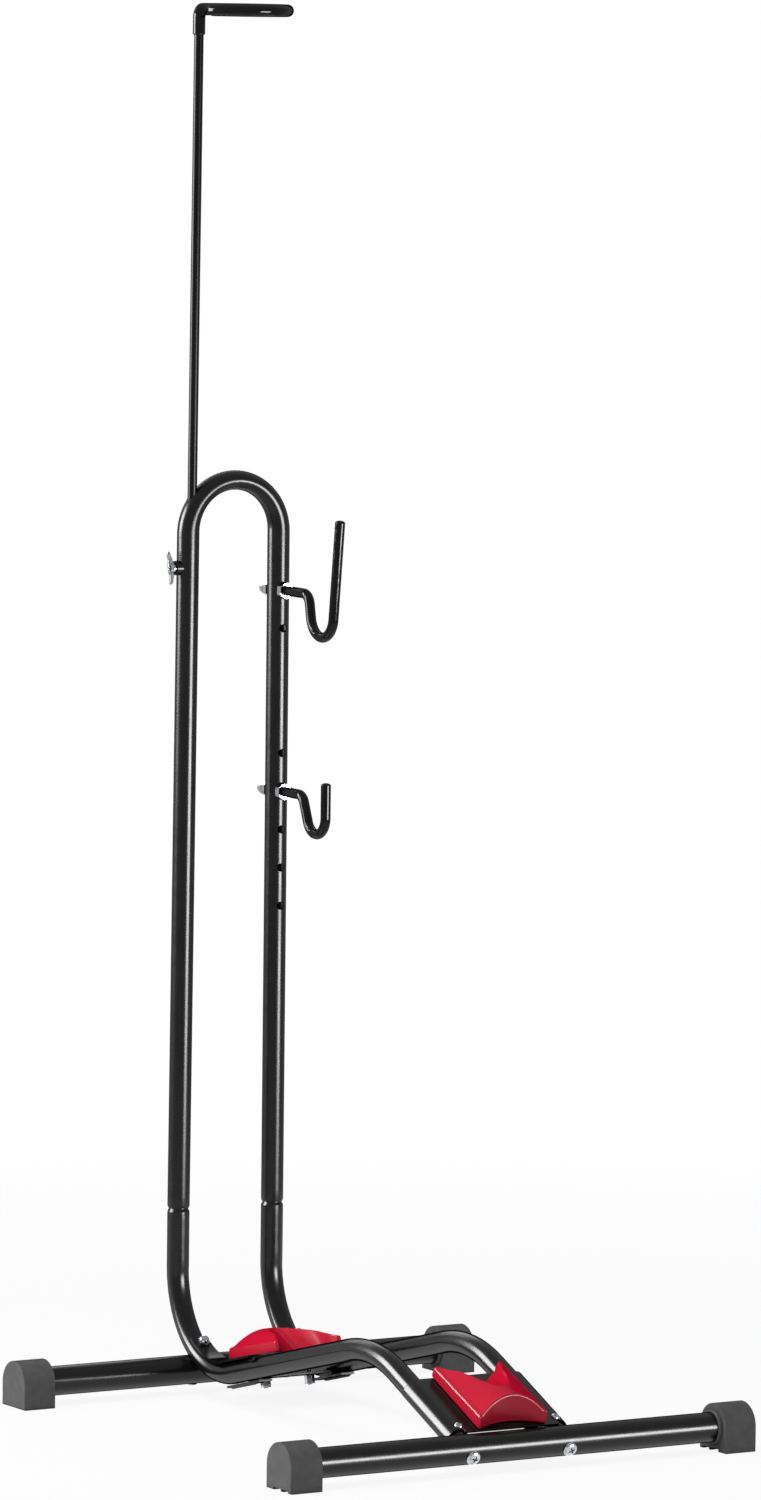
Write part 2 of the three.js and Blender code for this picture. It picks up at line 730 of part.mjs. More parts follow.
function traySection(roll) {
  const outer = [];
  const inner = [];
  for (let i = 0; i <= roundSteps; i += 1) {
    const angle = turn(90 - (i / roundSteps) * roll);
    outer.push([railSpacing + (railTop + sheet) * Math.cos(angle), (railTop + sheet) * Math.sin(angle)]);
    inner.push([railSpacing + railTop * Math.cos(angle), railTop * Math.sin(angle)]);
  }
  const right = [...outer, ...inner.reverse()];
  const left = right.map(([x, z]) => [-x, z]).reverse();
  return shapeOf(vectors([...right, ...left].map(([x, z]) => [z, x])));
}

function trayHoles(solid, studs) {
  let drilled = solid;
  for (const side of sides) {
    const hole = pinZ(studRadius + boltGap, cutReach, 0);
    drilled = cut(drilled, hole.translate(side.sign * studPlace, studs, 0));
  }
  return drilled;
}

function frontTray(studs) {
  const length = frontTrayEnd - frontTrayStart;
  let solid = toSolid(alongY(traySection(frontRoll), length, frontTrayStart));
  for (const side of sides) {
    const hole = pinZ(trayScrewRadius + boltGap, cutReach, 0);
    solid = cut(solid, hole.translate(side.sign * railSpacing, traySpot, 0));
  }
  return trayHoles(solid, studs);
}

// A point above the rails' rear bend, on the flats between its stations; angles run from the straight run
function overBend(angle, rise) {
  const first = Math.floor(angle / footFlat);
  const part = angle / footFlat - first;
  const [from, to] = [first, first + 1].map((count) => {
    const station = count * footFlat;
    const reach = footBend - railRadius * bendFlat(footTurn - station) - rise;
    return new THREE.Vector2(-reach * Math.sin(station), footBend - reach * Math.cos(station));
  });
  return from.lerp(to, part);
}

// Sheet that follows the rails' rear bend up to an angle
function arcSheet(end) {
  const angles = [];
  for (let angle = 0; angle < end; angle += footFlat) angles.push(angle);
  angles.push(end);
  const under = [new THREE.Vector2(rearRollStart, railTop)];
  under.push(...angles.map((angle) => overBend(angle, trayGap)));
  const over = [new THREE.Vector2(rearRollStart, railTop + sheet)];
  over.push(...angles.map((angle) => overBend(angle, trayGap + sheet)));
  return shapeOf([...over, ...under.reverse()]);
}

function rearTray(studs) {
  const boltAngle = rearBoltDirection.angleTo(zAxis) + runDirection.angleTo(yAxis.clone().negate());
  const sideEnd = Math.asin(-rearSideStart / (footBend - railTop));
  let solid = toSolid(alongY(traySection(rearRoll), rearTrayEnd - rearRollStart, rearRollStart));
  const middle = new THREE.BoxGeometry(2 * rearMiddleHalf, rearRollStart - rearTrayStart, sheet);
  solid = join(solid, middle.translate(0, (rearRollStart + rearTrayStart) * half, railTop + sheet * half));
  for (const side of sides) {
    const span = rearTrayHalf - rearMiddleHalf;
    const strip = alongX(arcSheet(sideEnd), span, side.sign * (rearMiddleHalf + span * half) - span * half);
    solid = join(solid, strip);
    const earSheet = arcSheet(boltAngle + turn(earBeyond));
    solid = join(solid, alongX(earSheet, 2 * earHalf, side.sign * railSpacing - earHalf));
  }
  const back = rearFrame.clone().invert();
  for (const side of sides) {
    const hole = pinZ(boltRadius + boltGap, cutReach, railRadius);
    hole.translate(side.sign * railSpacing, 0, 0).applyMatrix4(rearBoltFrame);
    solid = cut(solid, hole.applyMatrix4(back));
  }
  return trayHoles(solid, studs);
}

// Clamp plate: flanges under both rails, lips turned down, and a raised web for the studs
function clampPlate(studs) {
  const flangeTop = -railTop;
  const web = new THREE.BoxGeometry(2 * legPlace, 2 * webHalf, sheet);
  let solid = toSolid(web.translate(0, 0, webHeight - sheet * half));
  for (const side of sides) {
    const legDrop = webHeight - flangeTop + sheet;
    const leg = new THREE.BoxGeometry(sheet, 2 * webHalf, legDrop);
    leg.translate(side.sign * (legPlace - sheet * half), 0, webHeight - legDrop * half);
    const flangeSpan = plateHalfWidth - legPlace + sheet;
    const flange = new THREE.BoxGeometry(flangeSpan, 2 * plateHalfLong, sheet);
    flange.translate(side.sign * (plateHalfWidth - flangeSpan * half), 0, flangeTop - sheet * half);
    const outline = [[-plateHalfLong, flangeTop], [-plateHalfShort, -lipDrop]];
    outline.push([plateHalfShort, -lipDrop], [plateHalfLong, flangeTop]);
    const lipStart = side.sign * (plateHalfWidth - sheet * half) - sheet * half;
    const lip = alongX(shapeOf(vectors(outline)), sheet, lipStart);
    solid = join(solid, leg, flange, lip);
    const studHole = pinZ(studRadius + boltGap, 2 * cutReach, -cutReach);
    solid = cut(solid, studHole.translate(side.sign * studPlace, studs, 0));
  }
  return solid;
}

// Wheel block: a moulding with a domed roof, a hollowed outer end and a notch with sloped walls
const roofAt = (u) => blockSide + blockRise * Math.max(0, 1 - (u / blockShoulder) ** 2);

function blockRoof() {
  const points = [[-blockHalf, 0], [blockHalf, 0]];
  points.push([blockHalf, blockSide]);
  for (let i = 0; i <= 2 * roundSteps; i += 1) {
    const u = blockShoulder * (1 - i / roundSteps);
    points.push([u, roofAt(u)]);
  }
  points.push([-blockHalf, blockSide]);
  return shapeOf(vectors(points.map(([u, w]) => [w, u])));
}

// Plan outlines at two heights, joined by straight walls
function ruled(low, high, lowHeight, highHeight) {
  const count = low.length;
  const places = [];
  for (const [u, v] of low) places.push(u, v, lowHeight);
  for (const [u, v] of high) places.push(u, v, highHeight);
  const index = [];
  for (let i = 0; i < count; i += 1) {
    const next = (i + 1) % count;
    index.push(i, next, count + next, i, count + next, count + i);
  }
  const floorFaces = THREE.ShapeUtils.triangulateShape(vectors(low), []);
  const ceilingFaces = THREE.ShapeUtils.triangulateShape(vectors(high), []);
  for (const [a, b, c] of floorFaces) index.push(a, c, b);
  for (const [a, b, c] of ceilingFaces) index.push(count + a, count + b, count + c);
  const geometry = new THREE.BufferGeometry();
  geometry.setAttribute("position", new THREE.Float32BufferAttribute(places, corners));
  geometry.setIndex(index);
  return geometry.toNonIndexed();
}

function wheelBlock(studs) {
  const floor = -blockOverrun;
  const ceiling = blockSide + blockRise + blockOverrun;
  const low = [];
  const high = [];
  const station = (u, topV, footV) => {
    const rise = (topV - footV) / roofAt(Math.min(Math.abs(u), blockHalf));
    low.push([u, footV + rise * floor]);
    high.push([u, footV + rise * ceiling]);
  };
  for (let i = -roundSteps; i <= roundSteps; i += 1) {
    const u = (i / roundSteps) * (blockHalf + blockOverrun);
    const hollow = blockHollow * (1 - Math.min(1, (u / blockHalf) ** 2));
    station(u, blockTopStart + hollow, blockFootStart + hollow);
  }
  station(blockHalf + blockOverrun, blockLength, blockLength);
  const footAt = (u) => notchFootDepth + (blockLength - notchFootDepth) * (u / blockTip);
  const rightSide = [[blockTip, blockLength, blockLength]];
  for (const [acrossShare, alongShare] of [...notchTopShares].reverse()) {
    const u = acrossShare * blockTip;
    rightSide.push([u, alongShare * blockLength, footAt(u)]);
  }
  for (const [u, top, foot] of rightSide) station(u, top, foot);
  for (const [u, top, foot] of rightSide.slice(0, -1).reverse()) station(-u, top, foot);
  station(-blockHalf - blockOverrun, blockLength, blockLength);
  const roof = alongY(blockRoof(), blockLength + 2 * cutReach, -cutReach);
  const places = roof.attributes.position;
  for (let i = 0; i < places.count; i += 1) {
    places.setZ(i, places.getZ(i) * (1 - blockTaper * places.getY(i) / blockLength));
  }
  const body = toSolid(roof);
  let solid = body.intersect(toSolid(ruled(low, high, floor, ceiling)));
  for (const side of sides) {
    const hole = pinZ(boreFor(studRadius, seatGap), studDepth + cutReach, -cutReach);
    solid = cut(solid, hole.translate(side.sign * studPlace, studs, 0));
  }
  return solid;
}

const deck = railTop + sheet + seatGap;
const frontDeck = frameGroup("front_deck", frontFrame);
const rearDeck = frameGroup("rear_deck", rearFrame);
const decks = [
  { name: "front", group: frontDeck, tray: frontTray, block: frontBlockPlace, plate: frontPlatePlace },
  { name: "rear", group: rearDeck, tray: rearTray, block: rearBlockPlace, plate: rearPlatePlace },
];

for (const part of decks) {
  const studs = part.block + studAlong;
  node(`${part.name}_tray`, part.tray(studs), paint, part.group);
  const plate = node(`${part.name}_clamp_plate`, clampPlate(studs - part.plate), zinc, part.group);
  plate.position.y = part.plate;
  const block = node(`${part.name}_wheel_block`, wheelBlock(studAlong), crimson, part.group);
  block.position.set(0, part.block, deck);
  for (const side of sides) {
    const top = deck + studDepth - seatGap;
    const pin = pinZ(studRadius, top - studTip, studTip, barSides);
    const stud = node(`${part.name}_${side.name}_stud`, pin, zinc, part.group);
    stud.position.set(side.sign * studPlace, studs, 0);
    const height = webHeight - sheet - seatGap - studNutFoot;
    const hex = hexNut(studNutWidth, height, studRadius);
    const nut = node(`${part.name}_${side.name}_stud_nut`, hex, zinc, part.group);
    nut.rotation.x = Math.PI;
    nut.position.set(side.sign * studPlace, studs, webHeight - sheet - seatGap);
  }
}

// Bolts that hold the rails: from the front into plugs in the rails, from below through the rear bends
function domeBolt(head, height, shank, length) {
  const profile = [[0, length], [shank, length], [shank, 0], [head, 0]];
  for (const [radius, z] of domePairs(head, 0, height).slice(1)) profile.push([radius, -z]);
  return lathe(profile.reverse());
}

for (const side of sides) {
  const bolt = domeBolt(boltHeadRadius, boltHeadHeight, boltRadius, boltReach + crossRadius);
  const front = node(`front_${side.name}_bolt`, bolt.rotateX(-Math.PI / 2), zinc, frontDeck);
  front.position.set(side.sign * railSpacing, -crossRadius - seatGap, 0);
  const plugRadius = (railRadius - railWall) * Math.cos(Math.PI / tubeSides) - seatGap;
  const plug = toSolid(pinY(plugRadius, insertLength, insertStart, tubeSides));
  const boltHole = pinY(boreFor(boltRadius, seatGap), 2 * cutReach, -cutReach);
  const screwHole = pinZ(boreFor(trayScrewRadius, seatGap), cutReach, 0).translate(0, traySpot, 0);
  const plugMesh = node(`${side.name}_rail_plug`, cut(plug, boltHole, screwHole), zinc, frontDeck);
  plugMesh.position.x = side.sign * railSpacing;
  const screw = domeBolt(trayScrewHead, trayScrewHeight, trayScrewRadius, trayScrewDepth);
  const trayScrew = node(`front_tray_${side.name}_screw`, screw.rotateX(Math.PI), zinc, frontDeck);
  trayScrew.position.set(side.sign * railSpacing, traySpot, railTop + sheet + seatGap);
}

const boltAngle = rearBoltDirection.angleTo(zAxis) + runDirection.angleTo(yAxis.clone().negate());
const nutSpread = capNutWidth / Math.sqrt(corners) / footBend;
let earReach = rearBoltSpan;
for (let i = -roundSteps; i <= roundSteps; i += 1) {
  const place = overBend(boltAngle + (i / roundSteps) * nutSpread, trayGap + sheet);
  const reach = (footBend - place.y) * Math.cos(boltAngle) - place.x * Math.sin(boltAngle);
  earReach = Math.min(earReach, reach);
}
const rearBolts = frameGroup("rear_bolts", rearBoltFrame);
for (const side of sides) {
  const seat = rearBoltSpan - earReach + seatGap;
  const bolt = domeBolt(boltHeadRadius, boltHeadHeight, boltRadius, seat + capNutHex + crossRadius);
  const mesh = node(`rear_${side.name}_bolt`, bolt, zinc, rearBolts);
  mesh.position.set(side.sign * railSpacing, 0, -crossRadius - seatGap);
  const nutBore = capNutHex + capNutDome * half;
  const nut = capNut(capNutWidth, capNutHex, capNutReach, capNutDome, boltRadius, nutBore);
  node(`rear_${side.name}_cap_nut`, nut, zinc, rearBolts).position.set(side.sign * railSpacing, 0, seat);
}

export default root;
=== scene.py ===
from math import asin, atan, atan2, ceil, cos, hypot, pi, radians, sin, sqrt, tan

import bmesh
import bpy
from mathutils import Matrix, Vector


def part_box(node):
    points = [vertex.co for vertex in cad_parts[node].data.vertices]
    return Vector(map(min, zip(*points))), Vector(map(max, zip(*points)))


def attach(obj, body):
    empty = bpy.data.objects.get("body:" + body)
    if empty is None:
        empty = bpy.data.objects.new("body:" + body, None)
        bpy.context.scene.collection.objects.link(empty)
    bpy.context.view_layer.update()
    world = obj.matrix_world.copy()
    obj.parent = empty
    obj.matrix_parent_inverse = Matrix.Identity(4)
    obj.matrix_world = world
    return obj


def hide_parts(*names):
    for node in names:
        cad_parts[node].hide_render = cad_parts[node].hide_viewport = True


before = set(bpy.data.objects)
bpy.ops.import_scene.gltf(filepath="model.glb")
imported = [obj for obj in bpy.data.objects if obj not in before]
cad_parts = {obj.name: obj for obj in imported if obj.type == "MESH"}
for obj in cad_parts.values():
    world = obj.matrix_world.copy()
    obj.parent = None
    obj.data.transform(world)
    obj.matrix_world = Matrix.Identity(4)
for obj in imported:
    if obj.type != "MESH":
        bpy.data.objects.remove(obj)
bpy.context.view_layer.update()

# Everything is drawn in millimetres about the middle between the two cross tubes, then brought to metres
tubes = {
    "crossRadius": 16.7, "crossWall": 1.5, "crossHeight": 26.5, "crossHalfSpacing": 296.5, "crossHalf": 291.5,
    "railRadius": 12.7, "railWall": 1.5, "railSpacing": 61.7, "legBehind": 41.0, "jointHeight": 206.7,
    "spigotRadius": 10.8, "spigotLength": 50.0, "shoulderLength": 5.0, "shoulderRows": 4,
    "footCornerHeight": 2.3, "humpBehind": 196.9, "humpHeight": 112.0, "slopeFootHeight": 26.4,
    "footBend": 107.0, "bendShare": 0.78, "humpBend": 165.0, "slideGap": 0.3, "seatGap": 0.05, "boltGap": 0.4,
    "boltRadius": 4.0, "screwHole": 2.8, "screwSpot": 24.0, "bendStep": 3.0, "straightStep": 12.0,
    "sides": 56, "crossSides": 72,
}
millimetre = 0.001
# How long the cutters are, how far they pass a face or a tube's end, and lengths that count as none
cutLong, cutShort, cutPast, borePast = 200.0, 60.0, 1.0, 10.0
weldReach, nothing = 1e-4, 1e-6
signs = (-1, 1)
sideSigns = tuple(zip(("left", "right"), signs))
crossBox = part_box("front_cross_tube")
rowShift = (crossBox[0].y + crossBox[1].y) / 2 + tubes["crossHalfSpacing"] * millimetre
toRow = Matrix.Translation((0, rowShift, 0)) @ Matrix.Scale(millimetre, 4)
xAxis, yAxis, zAxis = Vector((1, 0, 0)), Vector((0, 1, 0)), Vector((0, 0, 1))


# Finishes: a cloud of two colours, patches of roughness, a gloss, and bumps from coarse to fine
noiseSpan = (0.3, 0.7)
# The painted shade in corners: its rays, and the span of occlusion that darkens the colour
cornerShade = {"samples": 8, "span": (0.25, 0.85)}


# A node with some of its inputs: a socket is linked, and any other value is set
def addNode(tree, kind, inputs):
    node = tree.nodes.new(kind)
    for key, value in inputs.items():
        if isinstance(value, bpy.types.NodeSocket):
            tree.links.new(value, node.inputs[key])
        else:
            node.inputs[key].default_value = value
    return node


def addNoise(tree, place, scale, detail, stretch=(1, 1, 1)):
    mapped = addNode(tree, "ShaderNodeMapping", {"Vector": place, "Scale": stretch}).outputs["Vector"]
    noise = addNode(tree, "ShaderNodeTexNoise", {"Vector": mapped, "Scale": scale, "Detail": detail})
    return noise.outputs["Fac"]


# What lies between the two values of span comes out between the two values of ends
def addRange(tree, source, ends, span=noiseSpan):
    limits = dict(zip(("From Min", "From Max", "To Min", "To Max"), (*span, *ends)))
    return addNode(tree, "ShaderNodeMapRange", {"Value": source, **limits}).outputs["Result"]


def addTint(tree, source, colours):
    ramp = addNode(tree, "ShaderNodeValToRGB", {"Fac": source})
    for element, position, colour in zip(ramp.color_ramp.elements, noiseSpan, colours):
        element.position = position
        element.color = (*colour, 1)
    return ramp.outputs["Color"]


def addBump(tree, source, distance, strength, below):
    inputs = {"Height": source, "Distance": distance, "Strength": strength}
    if below:
        inputs["Normal"] = below
    return addNode(tree, "ShaderNodeBump", inputs).outputs["Normal"]


def socketCalled(sockets, identifier):
    return next(socket for socket in sockets if socket.identifier == identifier)


# Painted shade: the colour is darkened where something else sits close, as shade falls there
def addPaintedShade(tree, colour, reach, depth):
    near = tree.nodes.new("ShaderNodeAmbientOcclusion")
    near.inputs["Distance"].default_value = reach
    near.samples = cornerShade["samples"]
    mix = tree.nodes.new("ShaderNodeMix")
    mix.data_type = "RGBA"
    clear = addRange(tree, near.outputs["AO"], (0, 1), cornerShade["span"])
    tree.links.new(clear, mix.inputs["Factor"])
    socketCalled(mix.inputs, "A_Color").default_value = (depth, depth, depth, 1)
    tree.links.new(colour, socketCalled(mix.inputs, "B_Color"))
    return socketCalled(mix.outputs, "Result_Color")


# The gloss is whole where the surface faces the view and falls to nothing as it turns away
def addGloss(tree, shader, gloss, span):
    weight = tree.nodes.new("ShaderNodeLayerWeight")
    falling = addRange(tree, weight.outputs["Facing"], (gloss, 0.0), span)
    tree.links.new(falling, shader.inputs["Specular IOR Level"])


# Without patches of its own, the roughness follows the cloud
def makeFinish(name, look):
    material = bpy.data.materials.new(name)
    material.use_nodes = True
    tree = material.node_tree
    shader = tree.nodes["Principled BSDF"]
    shader.inputs["Metallic"].default_value = look.get("metallic", 0.0)
    place = tree.nodes.new("ShaderNodeTexCoord").outputs["Object"]
    cloud = addNoise(tree, place, *look["cloud"])
    colour = addTint(tree, cloud, look["colours"])
    # Painted shade: darker colour where other surfaces sit close
    if "corners" in look:
        colour = addPaintedShade(tree, colour, *look["corners"])
    patches = addNoise(tree, place, *look["patches"]) if "patches" in look else cloud
    tree.links.new(colour, shader.inputs["Base Color"])
    tree.links.new(addRange(tree, patches, look["roughness"]), shader.inputs["Roughness"])
    if "gloss" in look:
        addGloss(tree, shader, *look["gloss"])
    slope = None
    for noise, distance, strength in look["bumps"]:
        slope = addBump(tree, addNoise(tree, place, *noise), distance, strength, slope)
    tree.links.new(slope, shader.inputs["Normal"])
    return material


# Black powder coat on tubes and sheet, with a faint peel and a fine speck
coat = makeFinish("blackPowderCoat", {
    "cloud": (22, 4), "colours": ((0.003, 0.003, 0.0033), (0.006, 0.006, 0.0065)),
    "patches": (60, 3), "roughness": (0.21, 0.26), "gloss": (0.14, (0.4, 0.74)),
    "bumps": (((160, 1), 0.00003, 0.012), ((1800, 2), 0.00001, 0.012)),
})

# Thin black paint on the rod, streaked along it
rodBlack = makeFinish("blackRodPaint", {
    "cloud": (90, 3, (1, 1, 0.08)), "colours": ((0.002, 0.002, 0.0024), (0.005, 0.005, 0.0055)),
    "roughness": (0.24, 0.30), "gloss": (0.07, (0.3, 0.75)),
    "bumps": (((900, 2, (1, 1, 0.05)), 0.00001, 0.015),),
})

# Zinc plate on the hooks and fasteners, cloudy and worn, with painted shade where parts sit close
zinc = makeFinish("zincPlate", {
    "metallic": 1.0, "cloud": (260, 4), "colours": ((0.13, 0.135, 0.145), (0.34, 0.35, 0.37)),
    "corners": (0.005, 0.03), "patches": (700, 3), "roughness": (0.10, 0.20),
    "bumps": (((1500, 3), 0.00004, 0.12),),
})

# Red moulded plastic of the wheel blocks, with faint sinks and a fine grain
crimson = makeFinish("crimsonPlastic", {
    "cloud": (14, 2), "colours": ((0.50, 0.006, 0.028), (0.55, 0.009, 0.034)),
    "patches": (45, 2), "roughness": (0.20, 0.26), "gloss": (0.11, (0.33, 0.6)),
    "bumps": (((22, 1), 0.0001, 0.01), ((1500, 2), 0.00001, 0.015)),
})

# Matt grey rubber of the end caps, with painted shade in its corners
rubber = makeFinish("greyRubber", {
    "cloud": (90, 5), "colours": ((0.078, 0.078, 0.080), (0.100, 0.100, 0.102)), "corners": (0.004, 0.02),
    "patches": (300, 3), "roughness": (0.74, 0.86), "gloss": (0.10, (0.3, 0.75)),
    "bumps": (((1700, 4), 0.00006, 0.30),),
})

# Black vinyl dipped over the hoop and the hooks, a little uneven
vinyl = makeFinish("blackVinyl", {
    "cloud": (60, 3), "colours": ((0.0015, 0.0015, 0.0015), (0.004, 0.004, 0.0044)),
    "roughness": (0.07, 0.11), "gloss": (0.10, (0.3, 0.75)),
    "bumps": (((60, 1), 0.0010, 0.20),),
})

print("finishes made")


# Places, meshes, cuts and the last step of each piece
def at(x, y, z):
    return Matrix.Translation((x, y, z))


def linked(name, data):
    made = bpy.data.objects.new(name, data)
    bpy.context.scene.collection.objects.link(made)
    return made


def objectFrom(bm, name):
    mesh = bpy.data.meshes.new(name)
    bm.to_mesh(mesh)
    bm.free()
    return linked(name, mesh)


def applyModifiers(made):
    graph = bpy.context.evaluated_depsgraph_get()
    mesh = bpy.data.meshes.new_from_object(made.evaluated_get(graph), depsgraph=graph)
    old = made.data
    made.modifiers.clear()
    made.data = mesh
    if not old.users:
        bpy.data.meshes.remove(old)
    return made


def carve(made, *cutters, how="DIFFERENCE"):
    for cutter in cutters:
        step = made.modifiers.new("carve", "BOOLEAN")
        step.operation = how
        step.solver = "MANIFOLD"
        step.object = cutter
        applyModifiers(made)
        bpy.data.objects.remove(cutter)
    return made


def easeEdges(made, width, segments=3, angle=40, clamp=True):
    bevel = made.modifiers.new("ease", "BEVEL")
    bevel.width = width
    bevel.segments = segments
    bevel.limit_method = "ANGLE"
    bevel.angle_limit = radians(angle)
    bevel.use_clamp_overlap = clamp
    return applyModifiers(made)


def placed(made, matrix):
    made.data.transform(matrix)
    return made


def settle(made, material, body, *nodes, sharp=38):
    placed(made, toRow)
    mesh = made.data
    for polygon in mesh.polygons:
        polygon.use_smooth = True
    mesh.set_sharp_from_angle(angle=radians(sharp))
    mesh.materials.clear()
    mesh.materials.append(material)
    mesh.polygons.foreach_set("material_index", [0] * len(mesh.polygons))
    flats = made.modifiers.new("flats", "WEIGHTED_NORMAL")
    flats.keep_sharp = True
    applyModifiers(made)
    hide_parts(*nodes)
    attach(made, body)
    return made


# A closed body through loops of points, each loop with as many
def lofted(loops, name):
    bm = bmesh.new()
    rings = [[bm.verts.new(point) for point in loop] for loop in loops]
    bm.faces.new(rings[0][::-1])
    bm.faces.new(rings[-1])
    for one, other in zip(rings, rings[1:]):
        for i in range(len(one)):
            onward = (i + 1) % len(one)
            bm.faces.new((one[i], one[onward], other[onward], other[i]))
    bmesh.ops.recalc_face_normals(bm, faces=bm.faces[:])
    return objectFrom(bm, name)


# Outlines given as a list of (x, y), pushed along Z
def pushed(outline, length, start=0.0, name="pushed"):
    return lofted([[(x, y, height) for x, y in outline] for height in (start, start + length)], name)


def onCircle(radius, angle):
    return radius * cos(angle), radius * sin(angle)


def roundOutline(radius, sides, phase=0.0):
    return [onCircle(radius, 2 * pi * i / sides + phase) for i in range(sides)]


def pin(radius, length, start=0.0, sides=40):
    return pushed(roundOutline(radius, sides), length, start, "pin")


def boxed(low, high, name="box"):
    outline = [(low[0], low[1]), (high[0], low[1]), (high[0], high[1]), (low[0], high[1])]
    return pushed(outline, high[2] - low[2], low[2], name)


# Drawn in (y, z) or (z, x) and pushed along X or Y
intoX = Matrix(((0, 0, 1, 0), (1, 0, 0, 0), (0, 1, 0, 0), (0, 0, 0, 1)))
intoY = Matrix(((0, 1, 0, 0), (0, 0, 1, 0), (1, 0, 0, 0), (0, 0, 0, 1)))


# A body of revolution about Z from (radius, height) pairs that start and end on the axis
def turned(pairs, sides=48, name="turned"):
    bm = bmesh.new()
    rings = []
    for radius, height in pairs:
        if radius < nothing:
            rings.append([bm.verts.new((0, 0, height))])
        else:
            rings.append([bm.verts.new((x, y, height)) for x, y in roundOutline(radius, sides)])
    for one, other in zip(rings, rings[1:]):
        for i in range(sides):
            onward = (i + 1) % sides
            corners = [one[i % len(one)], one[onward % len(one)]]
            corners += [other[onward % len(other)], other[i % len(other)]]
            kept = list(dict.fromkeys(corners))
            if len(kept) > 2:
                bm.faces.new(kept)
    bmesh.ops.recalc_face_normals(bm, faces=bm.faces[:])
    return objectFrom(bm, name)


def quarter(radius, foot, height, steps):
    angles = [pi / 2 * i / steps for i in range(steps)]
    return [(radius * cos(angle), foot + height * sin(angle)) for angle in angles] + [(0.0, foot + height)]


# The value at t from 0 to 1 of a smooth line between start and end, with what lies before and after
def smoothValue(t, before, start, end, after):
    slope = end - before
    turn = 2 * before - 5 * start + 4 * end - after
    twist = 3 * start - before - 3 * end + after
    return 0.5 * (2 * start + slope * t + turn * t * t + twist * t ** 3)


def smoothLine(points, steps):
    line = []
    ends = [points[0]] + list(points) + [points[-1]]
    for four in zip(ends, ends[1:], ends[2:], ends[3:]):
        for i in range(steps):
            line.append(tuple(smoothValue(i / steps, *values) for values in zip(*four)))
    return line + [points[-1]]


# Geometry node trees with named inputs
def newTree(name, inputs):
    tree = bpy.data.node_groups.new(name, "GeometryNodeTree")
    tree.interface.new_socket("Geometry", in_out="INPUT", socket_type="NodeSocketGeometry")
    for label, kind in inputs:
        tree.interface.new_socket(label, in_out="INPUT", socket_type="NodeSocket" + kind)
    tree.interface.new_socket("Geometry", in_out="OUTPUT", socket_type="NodeSocketGeometry")
    return tree, tree.nodes.new("NodeGroupInput"), tree.nodes.new("NodeGroupOutput")


def grow(made, tree, **values):
    step = made.modifiers.new("grow", "NODES")
    step.node_group = tree
    for item in tree.interface.items_tree:
        if item.in_out == "INPUT" and item.name in values:
            step[item.identifier] = values[item.name]
    return applyModifiers(made)


# What both trees end with: a real mesh in one material
def endTree(tree, shape, given, made):
    real = addNode(tree, "GeometryNodeRealizeInstances", {"Geometry": shape})
    finished = addNode(tree, "GeometryNodeSetMaterial", {
        "Geometry": real.outputs["Geometry"], "Material": given.outputs["Finish"]})
    tree.links.new(finished.outputs["Geometry"], made.inputs["Geometry"])
    return tree


# A round tube or bar along a path of points, thinner or thicker by each point's swell
def tubeTree():
    inputs = (("Radius", "Float"), ("Sides", "Int"), ("Finish", "Material"))
    tree, given, made = newTree("tubeAlongPath", inputs)
    swell = addNode(tree, "GeometryNodeInputNamedAttribute", {"Name": "swell"})
    swell.data_type = "FLOAT"
    line = addNode(tree, "GeometryNodeMeshToCurve", {"Mesh": given.outputs["Geometry"]})
    line = addNode(tree, "GeometryNodeSetCurveRadius", {
        "Curve": line.outputs["Curve"], "Radius": swell.outputs["Attribute"]})
    circle = addNode(tree, "GeometryNodeCurvePrimitiveCircle", {
        "Radius": given.outputs["Radius"], "Resolution": given.outputs["Sides"]})
    tube = addNode(tree, "GeometryNodeCurveToMesh", {
        "Curve": line.outputs["Curve"], "Profile Curve": circle.outputs["Curve"], "Fill Caps": True})
    if "Scale" in tube.inputs:
        tree.links.new(swell.outputs["Attribute"], tube.inputs["Scale"])
    return endTree(tree, tube.outputs["Mesh"], given, made)


# One fastener set on each of a list of places, each turned as its place says
def fastenerTree():
    inputs = (("Fastener", "Object"), ("Finish", "Material"))
    tree, given, made = newTree("fastenersInPlace", inputs)
    turnedTo = addNode(tree, "GeometryNodeInputNamedAttribute", {"Name": "turnedTo"})
    turnedTo.data_type = "FLOAT_VECTOR"
    fastener = addNode(tree, "GeometryNodeObjectInfo", {"Object": given.outputs["Fastener"]})
    rotation = addNode(tree, "FunctionNodeEulerToRotation", {"Euler": turnedTo.outputs["Attribute"]})
    onPlaces = addNode(tree, "GeometryNodeInstanceOnPoints", {
        "Points": given.outputs["Geometry"], "Instance": fastener.outputs["Geometry"],
        "Rotation": rotation.outputs["Rotation"]})
    return endTree(tree, onPlaces.outputs["Instances"], given, made)


tubeAlongPath, fastenersInPlace = tubeTree(), fastenerTree()


def sweep(stations, radius, sides=tubes["sides"], material=coat, swells=None, name="sweep"):
    mesh = bpy.data.meshes.new(name)
    edges = [(i, i + 1) for i in range(len(stations) - 1)]
    mesh.from_pydata([point for point, tangent in stations], edges, [])
    swell = mesh.attributes.new("swell", "FLOAT", "POINT")
    swell.data.foreach_set("value", swells or [1.0] * len(stations))
    made = grow(linked(name, mesh), tubeAlongPath, Radius=radius, Sides=sides, Finish=material)
    bm = bmesh.new()
    bm.from_mesh(made.data)
    bmesh.ops.remove_doubles(bm, verts=bm.verts[:], dist=weldReach)
    bmesh.ops.recalc_face_normals(bm, faces=bm.faces[:])
    bm.to_mesh(made.data)
    bm.free()
    return made


